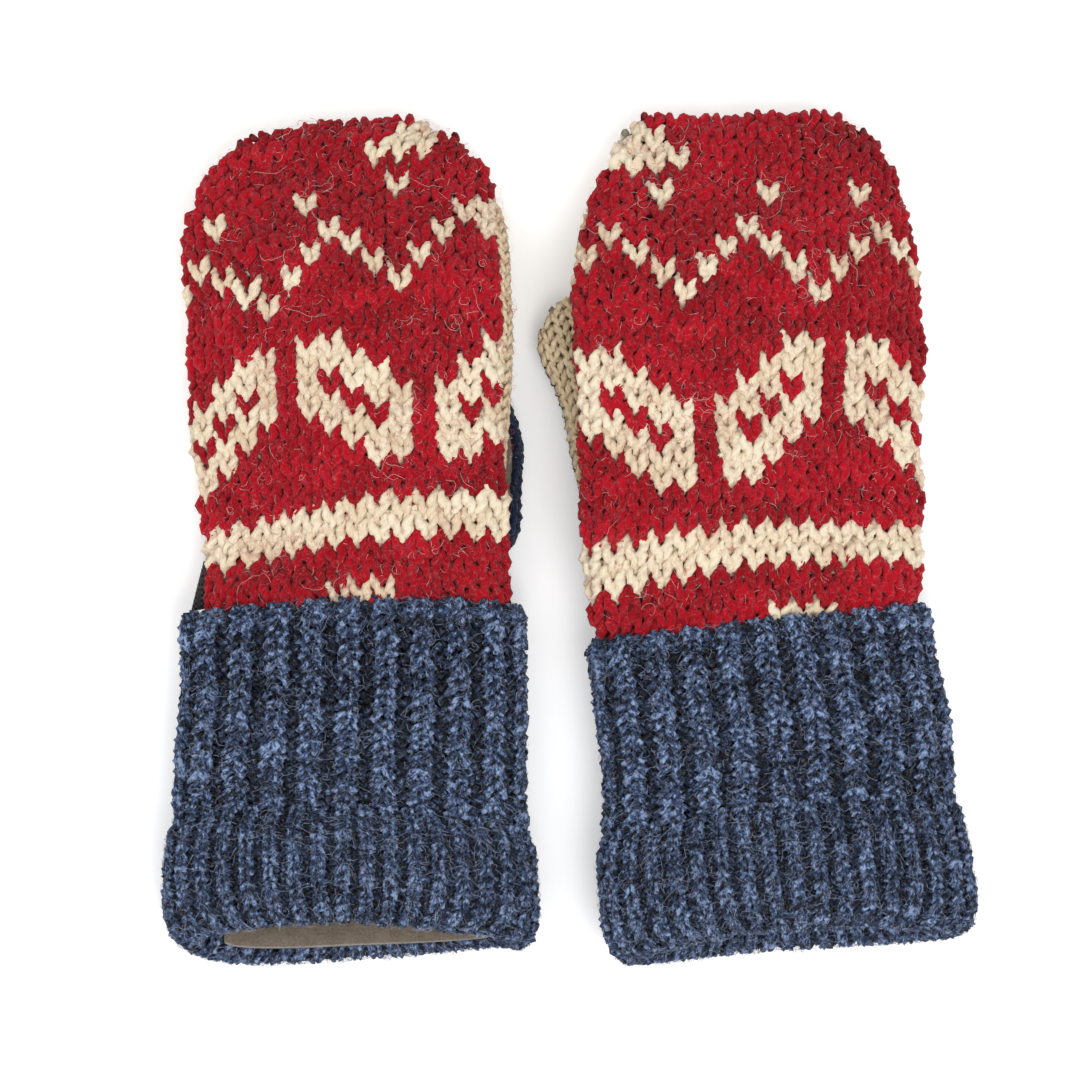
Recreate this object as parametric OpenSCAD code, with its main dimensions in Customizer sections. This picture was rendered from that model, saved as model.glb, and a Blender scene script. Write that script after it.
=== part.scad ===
// Pair of lined knitted mittens with turned-up ribbed cuffs.
// They lie backs up with the fingertips towards +Y and the thumbs under the palms.
// The origin is on the table, under the middle of the pair.

/* [Hand] */
// Half of the width across the palm
hand_a = 55; // [53:0.5:57]
// Half of the width at the wrist, inside the cuff
wrist_a = 52.6; // [51:0.2:52.6]
// Thickness from the back to the palm
hand_t = 21.2; // [20.8:0.2:21.2]
// Length of the left mitten
left_l = 288; // [282:1:292]
// Length of the right mitten
right_l = 281.5; // [276:0.5:288]
// Distance from the fingertip back to where the sides start to curve in
tip_l = 56; // [50:1:60]
// Thickness of the sweater knit
knit_t = 3.4; // [2.8:0.1:3.4]
// Thickness of the fleece lining
lining_t = 1.6; // [1:0.1:1.6]

/* [Thumb] */
// Distance from the cuff's fold to the crotch of the thumb
crotch_y = 152; // [150:1:154]
// Distance of the thumb's root from the mitten's centre line
thumb_x = 38; // [37:0.5:38]
// Half of the width of the thumb at its root
thumb_a = 18.5; // [17:0.5:18.5]
// Length of the thumb past the crotch
thumb_l = 72; // [64:1:72]
// Thickness of the thumb
thumb_t = 13.2; // [12.4:0.2:13.2]
// Thickness of the thumb's knit
thumb_knit_t = 2.4; // [2:0.1:2.4]
// Turn of the left thumb from the mitten's axis, outwards
left_thumb_turn = -10; // [-20:1:40]
// Turn of the right thumb from the mitten's axis, outwards
right_thumb_turn = 13; // [-20:1:40]

/* [Cuff] */
// Half of the width of the turned-up cuff
cuff_a = 58; // [58:0.5:60]
// Half of the thickness of the turned-up cuff
cuff_b = 16; // [16:0.2:16]
// Height of the turned-up cuff, up from the fold
cuff_h = 119; // [114:1:122]
// Height of the finer ribbed band at the fold
band_h = 44; // [38:1:50]
// Thickness of the outer leg of the cuff
cuff_t = 5; // [4.4:0.1:5]
// How far the fold's roll stands out past the cuff
roll = 3.5; // [1:0.5:4]
// How much further the table side of the left mouth reaches
left_slant = 13; // [4:1:14]
// How much further the table side of the right mouth reaches
right_slant = 6; // [4:1:14]
// Bend of the right cuff at the wrist
right_bend = 6.2; // [0:0.2:7]

/* [Pair] */
// Centre line of the left mitten at its fold
left_x = -73.0; // [-80:0.1:-70]
// Centre line of the right mitten at its fold, before the bend
right_x = 62.2; // [60:0.1:70]
// Turn of the left mitten on the table
left_tilt = 0.5; // [0:0.1:2]
// Turn of the right mitten on the table
right_tilt = 0.8; // [0:0.1:2]

/* [Hidden] */

// Index of each mitten in the pairs of values below
LEFT = 0;
RIGHT = 1;
MITTEN_L = [left_l, right_l];
SLANT = [left_slant, right_slant];
BEND = [0, right_bend];
// Exponents of the rounded tip's outline, and how far it leans to the thumb side
TIP_POWER = [2.6, 3];
TIP_ROOT = [2, 3.2];
TIP_LEAN = [8, 0];
THUMB_TURN = [left_thumb_turn, right_thumb_turn];
PLACE = [[left_x, -144.3, 0], [right_x, -137.8, 0]];
TILT = [left_tilt, right_tilt];

// Fit between neighbouring layers and between the two sides of a seam
fit = 0.3;
seam_gap = 0.3;
// Squareness of the flattened cross-sections
section_n = 2.5;
// Insets of the lining's two faces from the outer face of the knit
lining_out = knit_t + fit;
lining_in = lining_out + lining_t;
// The knit hand starts inside the cuff, and the cuff's inner leg ends under it
hand_y0 = 100;
fold_y = 16;
lining_y0 = 5;
// The cuff's inner leg, as an inset from the outer face of the wrist
leg_t = 3.5;
leg_in = cuff_a - wrist_a;
// Height of the middle of the hand in the cuff, and past the wrist on the table
wrist_z = cuff_b;
hand_z = hand_t / 2;
// The palm rests on the thumb at this height
thumb_clear = thumb_t + 0.7;
thumb_z = thumb_t / 2;
// Radius of the socket in the lower palm that the round thumb root turns in
socket_r = thumb_a + 0.4;
// Limits of the thumb's turn inwards and outwards
turn_in = 20;
// Columns of the lower palm, as shares of the half width, with extra ones at the socket
SOCKET_COLUMNS = [1, 0.99, 0.965, 0.915, 0.84, 0.75, 0.65, 0.55, 0.46, 0.385, 0.355, 0.325, 0.29,
    0.25, 0.15, 0, -0.17, -0.34, -0.5, -0.64, -0.76, -0.86, -0.93, -0.975, -1];
// Columns of the other hand panels
COLUMNS = [1, 0.985, 0.94, 0.86, 0.74, 0.6, 0.45, 0.3, 0.15, 0, -0.17, -0.34, -0.5,
    -0.64, -0.76, -0.86, -0.94, -0.985, -1];
// Rows of the hand panels: up to the crotch, from there to the tip, and round the tip
wrist_n = 7;
hand_n = 5;
TIP_ROWS = [0.22, 0.42, 0.6, 0.75, 0.87, 0.95, 0.985];
ring_n = 40;

WOOL_RED = [0.66, 0.11, 0.18];
WOOL_CREAM = [0.88, 0.82, 0.72];
WOOL_NAVY = [0.11, 0.14, 0.22];
WOOL_BLUE = [0.27, 0.37, 0.57];
FLEECE = [0.47, 0.42, 0.37];
TAPE = [0.16, 0.15, 0.14];
THREAD = [0.2, 0.19, 0.22];

// ---- curves ----

function smooth(a, b, x) = let (t = min(1, max(0, (x - a) / (b - a)))) t * t * (3 - 2 * t);
// Height of a flattened section over its seam plane, from 0 at the edge to 1
function crown(c) = pow(max(0, 1 - pow(abs(c), section_n)), 1 / section_n);
function ring_x(t) = sign(cos(t)) * pow(abs(cos(t)), 2 / section_n);
function ring_z(t) = sign(sin(t)) * pow(abs(sin(t)), 2 / section_n);

// ---- hand ----

// Share of the way along the round tip, for the skin at inset d
function tip_share(m, y, d) =
    let (y0 = MITTEN_L[m] - tip_l) max(0, min(0.985, (y - y0) / (tip_l - d)));
function hand_half_w(m, y, d) =
    (wrist_a + (hand_a - wrist_a) * smooth(118, 170, y) - d)
    * pow(1 - pow(tip_share(m, y, d), TIP_POWER[m]), 1 / TIP_ROOT[m]);
function hand_half_t(m, y, d) =
    (hand_z - seam_gap / 2 - d) * sqrt(1 - pow(tip_share(m, y, d), 3));
function hand_mid_x(m, y, d) = TIP_LEAN[m] * pow(tip_share(m, y, d), 2);
function hand_mid_z(y) = hand_z + (wrist_z - hand_z) * (1 - smooth(118, 140, y));

// How far the hand is raised over the thumb past the crotch, rising from x = low to high
// beside a line that follows the thumb
function lift_edge(y) = 16 - 0.47 * (y - crotch_y);
function lift(m, x, y, low, high) =
    thumb_clear * smooth(lift_edge(y) + low, lift_edge(y) + high, x)
    * (1 - smooth(MITTEN_L[m] - 60, MITTEN_L[m] - 22, y));
// The seam plane and the back rise gently, and fall back to the cuff below the crotch
function lift_seam(m, x, y) =
    lift(m, x, max(y, crotch_y), -52, 12) * smooth(117, crotch_y, min(y, crotch_y));
// The palm rises just beside the thumb, and stays on the table round the thumb's socket
function lift_palm(m, x, y) =
    y > crotch_y ? lift(m, x, y, -26, 0)
    : lift(m, x, crotch_y, -26, 0) * (1 - smooth(15, 20.5, x)) * smooth(125, crotch_y, y);

// Point of the back (side = 1) or palm (side = -1) at column c, before the cuff's bend
function hand_point(m, c, y, d, side) =
    let (x = hand_mid_x(m, y, d) + hand_half_w(m, y, d) * c, seam = lift_seam(m, x, y),
        z0 = hand_mid_z(y) + seam + side * seam_gap / 2)
    side > 0 ? [x, y, z0 + hand_half_t(m, y, d) * crown(c)]
    : [x, y, z0 - (hand_half_t(m, y, d) + seam - lift_palm(m, x, y)) * crown(c)];

// ---- wrist: the bend and the slanted mouth ----

// Turns the cuff about the wrist, and draws the table side of its mouth out
function warp(m, p) =
    let (turn = -BEND[m] * (1 - smooth(100, 150, p[1])), pivot = 125,
        y = p[1] + SLANT[m] * p[2] / (2 * cuff_b) * (1 - smooth(10, 95, p[1])), v = y - pivot)
    [p[0] * cos(turn) - v * sin(turn), pivot + p[0] * sin(turn) + v * cos(turn), p[2]];

// ---- closed solids from grids of points ----

function quad(a, b, c, d) = [[a, b, c], [a, c, d]];

// Solid between an outer and an inner grid; closed_loop joins the last column to the first
// A palm's grids run the same way across as a back's, so its inner one is given as the outer
module wall(outer, inner, closed_loop = false) {
    rows = len(outer);
    cols = len(outer[0]);
    n = rows * cols;
    last = closed_loop ? cols - 1 : cols - 2;
    points = [for (grid = [outer, inner]) for (row = grid) each row];
    faces = [
        for (i = [0:rows - 2], j = [0:last])
            let (k = (j + 1) % cols, a = i * cols, b = a + cols)
            each concat(quad(a + j, a + k, b + k, b + j),
                quad(n + a + j, n + b + j, n + b + k, n + a + k)),
        for (j = [0:last])
            let (k = (j + 1) % cols, a = (rows - 1) * cols)
            each concat(quad(k, j, n + j, n + k), quad(a + j, a + k, n + a + k, n + a + j)),
        if (!closed_loop)
            for (i = [0:rows - 2])
                let (a = i * cols, b = a + cols, e = cols - 1)
                each concat(quad(a, b, n + b, n + a), quad(b + e, a + e, n + a + e, n + b + e))
    ];
    polyhedron(points = points, faces = faces);
}

// Ring whose cross-section is the closed profile of [y, inset] points
module ring(m, profile, half_w, half_t) {
    rows = len(profile);
    points = [for (q = profile, j = [0:ring_n - 1])
        let (t = j * 360 / ring_n)
        warp(m, [(half_w - q[1]) * ring_x(t), q[0], max(0, wrist_z + (half_t - q[1]) * ring_z(t))])];
    faces = [for (i = [0:rows - 1], j = [0:ring_n - 1])
        let (k = (j + 1) % ring_n, a = i * ring_n, b = ((i + 1) % rows) * ring_n)
        each quad(a + j, a + k, b + k, b + j)];
    polyhedron(points = points, faces = faces);
}

// Puts a mitten's own frame on the table: +X is the thumb side, y = 0 is the fold
module place(m) {
    translate(PLACE[m]) rotate([0, 0, TILT[m]]) mirror([m == RIGHT ? 1 : 0, 0, 0]) children();
}

// Heights of the rows of a hand panel past the crotch, closer together round the tip
function hand_rows(m, d) =
    let (tip = MITTEN_L[m] - tip_l, y0 = crotch_y + seam_gap / 2)
    concat([for (i = [0:hand_n]) y0 + (tip - y0) * i / hand_n],
        [for (u = TIP_ROWS) tip + u * (tip_l - d)]);
// Shares of the way from a panel's lower edge inside the cuff to the palm seam
function wrist_share(y0) =
    concat([for (y = [y0:32:hand_y0 - 20]) (y - hand_y0) / (crotch_y - hand_y0)],
        [for (i = [0:wrist_n]) i / wrist_n]);
function wrist_y(share, end) =
    hand_y0 + share * ((share > 0 ? end : crotch_y) - hand_y0);

// Rows of the back, from y0 to the fingertip
function back_grid(m, y0, d) =
    let (seam_y = crotch_y - seam_gap / 2)
    [for (y = concat([for (q = wrist_share(y0)) wrist_y(q, seam_y)], hand_rows(m, d)))
        [for (c = COLUMNS) warp(m, hand_point(m, c, y, d, 1))]];
function upper_palm_grid(m, d) =
    [for (y = hand_rows(m, d)) [for (c = COLUMNS) warp(m, hand_point(m, c, y, d, -1))]];

// Upper edge of the lower palm at column c: the palm seam, or the socket round the thumb
function palm_end(m, c) =
    let (x = c * (wrist_a + hand_a) / 2, seam_y = crotch_y - seam_gap / 2,
        near = thumb_x - socket_r * cos(turn_in) - 0.1,
        far_z = hand_point(m, c, crotch_y - 1, 0, -1)[2])
    x < near - 3 ? seam_y
    : x < near ? seam_y - (x - near + 3) / 3 * socket_r * sin(turn_in)
    : far_z > thumb_clear ? seam_y
    : crotch_y - sqrt(max(0, pow(socket_r, 2) - pow(x - thumb_x, 2)));

function lower_palm_grid(m, y0, d) =
    [for (q = wrist_share(y0))
        [for (c = SOCKET_COLUMNS)
            warp(m, hand_point(m, c, wrist_y(q, palm_end(m, c)), d, -1))]];

module back_panel(m) {
    color(WOOL_RED) place(m) wall(back_grid(m, hand_y0, 0), back_grid(m, hand_y0, knit_t));
}

module upper_palm_panel(m) {
    color(WOOL_CREAM) place(m) wall(upper_palm_grid(m, knit_t), upper_palm_grid(m, 0));
}

module lower_palm_panel(m) {
    color(WOOL_NAVY) place(m)
        wall(lower_palm_grid(m, hand_y0, knit_t), lower_palm_grid(m, hand_y0, 0));
}

module back_lining(m) {
    color(FLEECE) place(m)
        wall(back_grid(m, lining_y0, lining_out), back_grid(m, lining_y0, lining_in));
}

module upper_palm_lining(m) {
    color(FLEECE) place(m)
        wall(upper_palm_grid(m, lining_in), upper_palm_grid(m, lining_out));
}

module lower_palm_lining(m) {
    color(FLEECE) place(m)
        wall(lower_palm_grid(m, lining_y0, lining_in),
            lower_palm_grid(m, lining_y0, lining_out));
}

// ---- thumb, in its own frame: the root is at the origin and the tip on +Y ----

thumb_tip_l = 28;
THUMB_COLUMNS = [1, 0.97, 0.88, 0.7, 0.45, 0.15, -0.15, -0.45, -0.7, -0.88, -0.97, -1];
THUMB_ROWS = [0, 0.22, 0.45, 0.7, 1];

function thumb_share(s, d) = max(0, min(0.98, (s - thumb_l + thumb_tip_l) / (thumb_tip_l - d)));
function thumb_half_w(s, d) =
    (thumb_a - 3.5 * smooth(4, 50, s) - d) * sqrt(1 - pow(thumb_share(s, d), 2.3));
function thumb_half_t(s, d) =
    (thumb_z - seam_gap / 2 - d) * sqrt(1 - pow(thumb_share(s, d), 3));
function thumb_rows(d) =
    let (body = thumb_l - thumb_tip_l)
    concat([for (r = THUMB_ROWS) 0.2 + (body - 0.2) * r],
        [for (u = [0.3, 0.55, 0.75, 0.88, 0.95, 0.98]) body + u * (thumb_tip_l - d)]);
function thumb_grid(d, side) =
    [for (s = thumb_rows(d))
        [for (c = THUMB_COLUMNS)
            [thumb_half_w(s, d) * c, s,
                thumb_z + side * (seam_gap / 2 + thumb_half_t(s, d) * crown(c))]]];

// Rows of the round root under the palm, a shallow scoop that ends in a flat plate
function root_grid(d) =
    [for (q = [-0.97, -0.85, -0.65, -0.42, -0.2])
        let (s = q * thumb_a, w = sqrt(pow(thumb_a, 2) - s * s), rise = smooth(-14, 0, s),
            rim = thumb_z - seam_gap / 2)
        [for (c = THUMB_COLUMNS) [(w - d * rise) * c, s, d + (rim - d) * (1 - crown(c)) * rise]]];

module place_thumb(m) {
    place(m) translate([thumb_x, crotch_y, 0]) rotate([0, 0, -THUMB_TURN[m]]) children();
}

module thumb_upper_half(m) {
    color(WOOL_CREAM) place_thumb(m) wall(thumb_grid(0, 1), thumb_grid(thumb_knit_t, 1));
}

module thumb_lower_half(m) {
    color(WOOL_NAVY) place_thumb(m)
        wall(concat(root_grid(thumb_knit_t), thumb_grid(thumb_knit_t, -1)),
            concat(root_grid(0), thumb_grid(0, -1)));
}

module thumb_lining(m) {
    loop = 20;
    grids = [for (d = [thumb_knit_t + fit, thumb_knit_t + fit + 1.2])
        [for (s = thumb_rows(d))
            [for (j = [0:loop - 1])
                let (t = j * 360 / loop)
                [thumb_half_w(s, d) * ring_x(t), s, thumb_z + thumb_half_t(s, d) * ring_z(t)]]]];
    color(FLEECE) place_thumb(m) wall(grids[0], grids[1], closed_loop = true);
}

// ---- cuff ----

module cuff_turnup(m) {
    y0 = band_h + fit;
    color(WOOL_BLUE) place(m)
        ring(m, [[y0, 0], [band_h + 20, 0.4], [cuff_h - 20, 0.4], [cuff_h - 4, 0],
            [cuff_h - 1.2, 0.8], [cuff_h, 2.4], [cuff_h - 1.2, 4.2], [cuff_h - 4, cuff_t],
            [band_h + 30, cuff_t], [y0, cuff_t]], cuff_a, cuff_b);
}

module cuff_band(m) {
    leg = leg_in + leg_t;
    color(WOOL_BLUE) place(m)
        ring(m, [[fold_y, leg], [6, leg], [2.4, leg - 0.4], [0.3, leg - 2.6], [0, leg - 5.4],
            [1.6, 0.6], [6, -0.7 * roll], [14, -roll], [26, -roll], [35, -0.8 * roll],
            [40, -0.4 * roll], [band_h, 0], [band_h, cuff_t], [30, cuff_t], [fold_y, cuff_t]],
            cuff_a, cuff_b);
}

module cuff_inner(m) {
    y0 = fold_y + fit;
    y1 = hand_y0 - fit;
    color(WOOL_BLUE) place(m)
        ring(m, [[y0, 0], [60, 0], [y1, 0], [y1, leg_t], [60, leg_t], [y0, leg_t]],
            wrist_a, hand_z);
}

// ---- seams ----

// One stitch of thread along the given direction through the point p
module stitch(p, along, length) {
    translate(p) rotate(along) cylinder(h = length, r = 0.7, center = true, $fn = 6);
}

module side_seam_thread(m) {
    inset = knit_t / 2;
    color(THREAD) place(m)
        for (side = [-1, 1], y = [124:9:MITTEN_L[m] - 8]) {
            x = hand_mid_x(m, y, inset) + side * hand_half_w(m, y, inset);
            stitch(warp(m, [x, y, hand_mid_z(y) + lift_seam(m, x, y)]), [0, 0, 0], 2.4);
        }
}

module palm_seam_thread(m) {
    inset = knit_t / 2;
    color(THREAD) place(m)
        for (c = [-0.96:0.09:0.2])
            stitch(hand_point(m, c, crotch_y, inset, -1), [90, 0, 0], 5);
}

module cuff_seam_thread(m) {
    count = 36;
    inset = knit_t / 2;
    color(THREAD) place(m)
        for (i = [0:count - 1]) {
            t = (i + 0.5) * 360 / count;
            stitch(warp(m, [(wrist_a - inset) * ring_x(t), hand_y0,
                wrist_z + (hand_z - inset) * ring_z(t)]), [90, 0, 0], 4.4);
        }
}

module thumb_seam_thread(m) {
    inset = thumb_knit_t / 2;
    color(THREAD) place_thumb(m)
        for (side = [-1, 1], s = [5:8:thumb_l - 6])
            stitch([side * thumb_half_w(s, inset), s, thumb_z], [0, 0, 0], 2);
}

module seam_tab(m) {
    tab = [7.5, 14.5, 0.6];
    y0 = cuff_h + 0.7;
    z = hand_mid_z(y0 + tab[1] / 2);
    color(TAPE) place(m)
        translate([-hand_half_w(m, y0, 0) - tab[0] + 3, y0, z - tab[2] / 2]) cube(tab);
}

back_panel(LEFT);  // left_back_panel
upper_palm_panel(LEFT);  // left_upper_palm_panel
lower_palm_panel(LEFT);  // left_lower_palm_panel
thumb_upper_half(LEFT);  // left_thumb_upper_half
thumb_lower_half(LEFT);  // left_thumb_lower_half
cuff_turnup(LEFT);  // left_cuff_turnup
cuff_band(LEFT);  // left_cuff_band
cuff_inner(LEFT);  // left_cuff_inner
back_lining(LEFT);  // left_back_lining
upper_palm_lining(LEFT);  // left_upper_palm_lining
lower_palm_lining(LEFT);  // left_lower_palm_lining
thumb_lining(LEFT);  // left_thumb_lining
side_seam_thread(LEFT);  // left_side_seam_thread
palm_seam_thread(LEFT);  // left_palm_seam_thread
thumb_seam_thread(LEFT);  // left_thumb_seam_thread
cuff_seam_thread(LEFT);  // left_cuff_seam_thread
seam_tab(LEFT);  // left_seam_tab
back_panel(RIGHT);  // right_back_panel
upper_palm_panel(RIGHT);  // right_upper_palm_panel
lower_palm_panel(RIGHT);  // right_lower_palm_panel
thumb_upper_half(RIGHT);  // right_thumb_upper_half
thumb_lower_half(RIGHT);  // right_thumb_lower_half
cuff_turnup(RIGHT);  // right_cuff_turnup
cuff_band(RIGHT);  // right_cuff_band
cuff_inner(RIGHT);  // right_cuff_inner
back_lining(RIGHT);  // right_back_lining
upper_palm_lining(RIGHT);  // right_upper_palm_lining
lower_palm_lining(RIGHT);  // right_lower_palm_lining
thumb_lining(RIGHT);  // right_thumb_lining
side_seam_thread(RIGHT);  // right_side_seam_thread
palm_seam_thread(RIGHT);  // right_palm_seam_thread
thumb_seam_thread(RIGHT);  // right_thumb_seam_thread
cuff_seam_thread(RIGHT);  // right_cuff_seam_thread
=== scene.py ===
"""Pair of lined patchwork-knit mittens with wide, turned-up ribbed cuffs.

Every piece of knit is made of its rows of yarn, which run over the shape of the mitten stitch by
stitch, with a thin backing under them which on the hand and the thumb is a darker tone of the same
wool, as painted shade between the stitches. A mitten's own frame is in millimetres:
+X is the thumb side, y = 0 is the fold of the cuff and z = 0 is the table.
"""

import logging
import math
from dataclasses import dataclass, field
from enum import Enum
from typing import Callable, Sequence

import bpy
import numpy as np
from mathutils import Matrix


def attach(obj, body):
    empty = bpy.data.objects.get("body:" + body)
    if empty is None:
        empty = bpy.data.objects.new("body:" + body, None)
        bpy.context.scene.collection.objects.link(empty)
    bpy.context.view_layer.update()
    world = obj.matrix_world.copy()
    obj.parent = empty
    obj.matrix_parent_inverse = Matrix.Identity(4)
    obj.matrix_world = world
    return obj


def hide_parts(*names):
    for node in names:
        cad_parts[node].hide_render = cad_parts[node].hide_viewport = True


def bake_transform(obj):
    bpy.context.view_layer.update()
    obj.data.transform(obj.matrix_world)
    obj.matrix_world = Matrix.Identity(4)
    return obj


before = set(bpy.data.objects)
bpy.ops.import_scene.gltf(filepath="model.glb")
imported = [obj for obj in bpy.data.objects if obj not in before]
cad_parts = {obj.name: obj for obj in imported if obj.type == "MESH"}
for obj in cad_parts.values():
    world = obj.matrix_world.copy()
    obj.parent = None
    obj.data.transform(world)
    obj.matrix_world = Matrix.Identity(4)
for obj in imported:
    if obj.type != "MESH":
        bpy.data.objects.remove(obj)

log = logging.getLogger("mittens")

MM = 0.001
TAU = 2 * math.pi
TIP_END = 0.985  # share of a round tip that is modelled: its very end would be a point
THREAD_RADIUS = 0.4
SOCKET_RADIUS = 18.9  # of the thumb's root in the palm
PIVOT_Y = 125.0  # height on the mitten that its cuff turns about
SEAM_Y = 100.0  # height of the seam between the cuff and the hand

Array = np.ndarray
Section = Callable[[Array, Array], Array]
Limit = Callable[[Array], Array]
Rgb = tuple[float, float, float]


def smooth(a: float, b: float, x: Array) -> Array:
    """Ramp from 0 at a to 1 at b with no corner at either end."""
    t = np.clip((np.asarray(x, float) - a) / (b - a), 0, 1)
    return t * t * (3 - 2 * t)


def srgb(red: int, green: int, blue: int) -> Rgb:
    """Linear colour of a colour given in 0 to 255 on a display."""
    return tuple(((c / 255 + 0.055) / 1.055) ** 2.4 if c > 10 else c / 255 / 12.92
                 for c in (red, green, blue))


# ---- the shape of a mitten ----


class Hand(Enum):
    """Which mitten of the pair."""

    LEFT = "left"
    RIGHT = "right"


@dataclass(frozen=True)
class MittenSizes:
    """Sizes of one mitten in millimetres.

    They are those of the model it is built round, except that the right mitten's thumb is 2 mm
    longer and its cuff 11 mm lower, and that the thumbs are turned a few degrees further out.
    The outline gives, from the wrist to the tip, the height on the mitten and how far the edge
    of the knit lies from the centre line on the outer side and on the thumb side. The mouth gives
    places across the cuff, and there how far its upper lip and then its whole edge is drawn in.
    The rim gives how far the cuff's turned-up edge rises across it, and shift how far the cuff
    and its mouth lie to the thumb side.
    """

    hand: Hand
    length: float
    outline: tuple[tuple[float, float, float], ...]
    thumb_turn: float
    thumb_bulge: tuple[float, float, float]
    mouth: tuple[tuple[float, ...], tuple[float, ...], tuple[float, ...]]
    rim: tuple[tuple[float, ...], tuple[float, ...]]
    shift: tuple[float, float]
    bend: float
    place: tuple[float, float]
    tilt: float
    tip_power: float
    tip_root: float
    tip_lean: float
    hand_a: float = 55.0
    wrist_a: float = 52.6
    hand_t: float = 21.2
    tip_l: float = 56.0
    crotch_y: float = 152.0
    thumb_x: float = 38.0
    thumb_a: float = 18.5
    thumb_l: float = 72.0
    lining_low: float = 6.5
    thumb_t: float = 13.2
    thumb_tip_l: float = 28.0
    cuff_a: float = 58.0
    cuff_b: float = 16.0
    cuff_h: float = 119.0
    band_h: float = 44.0
    section_n: float = 2.5
    seam_gap: float = 0.3


LEFT_SIZES = MittenSizes(
    Hand.LEFT, 288.0,
    ((90, -45.5, 49), (124, -45.5, 50.5), (150, -47, 51.5), (177, -49.5, 52.5), (214, -51.5, 53.5),
     (240, -52.5, 52.5), (254, -51.5, 50.5), (264, -48.5, 47.5), (273, -41, 41.5),
     (280, -29, 34), (284.5, -12, 23)),
    thumb_turn=-4.5, thumb_bulge=(4.2, 26, 17), bend=0,
    mouth=((-58, -42, 0, 48, 60), (17, 20.5, 19, 9, 4), (2, 0, 2.5, 6.5, 5)),
    rim=((-58, -30, 0, 40, 58), (-2, 1, 3, 2.5, 0)), shift=(1.3, 0), place=(-73.0, -144.3), tilt=0.5,
    tip_power=2.6, tip_root=2, tip_lean=8, lining_low=2.0)
RIGHT_SIZES = MittenSizes(
    Hand.RIGHT, 281.5,
    ((90, -50, 51.5), (117, -51.6, 53), (144, -54.2, 55.8), (167, -54.8, 56.2), (204, -55.2, 57),
     (221, -54.6, 57.2), (237, -53, 56), (250, -51, 52.5), (261, -47.8, 48), (270, -42.8, 43),
     (276, -37, 37), (279.8, -31, 32)),
    thumb_turn=15.8, thumb_bulge=(4, 60, 14), bend=6.2,
    mouth=((-60, -20, 20, 60), (8, 11, 11, 8), (-5, -2, 0.5, 0)),
    rim=((-58, 0, 58), (-0.5, 0.5, -0.5)), shift=(1.4, 2.8), cuff_h=108.0, thumb_l=74.0,
    place=(62.2, -137.8), tilt=0.8, tip_power=3, tip_root=3.2, tip_lean=0)


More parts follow.
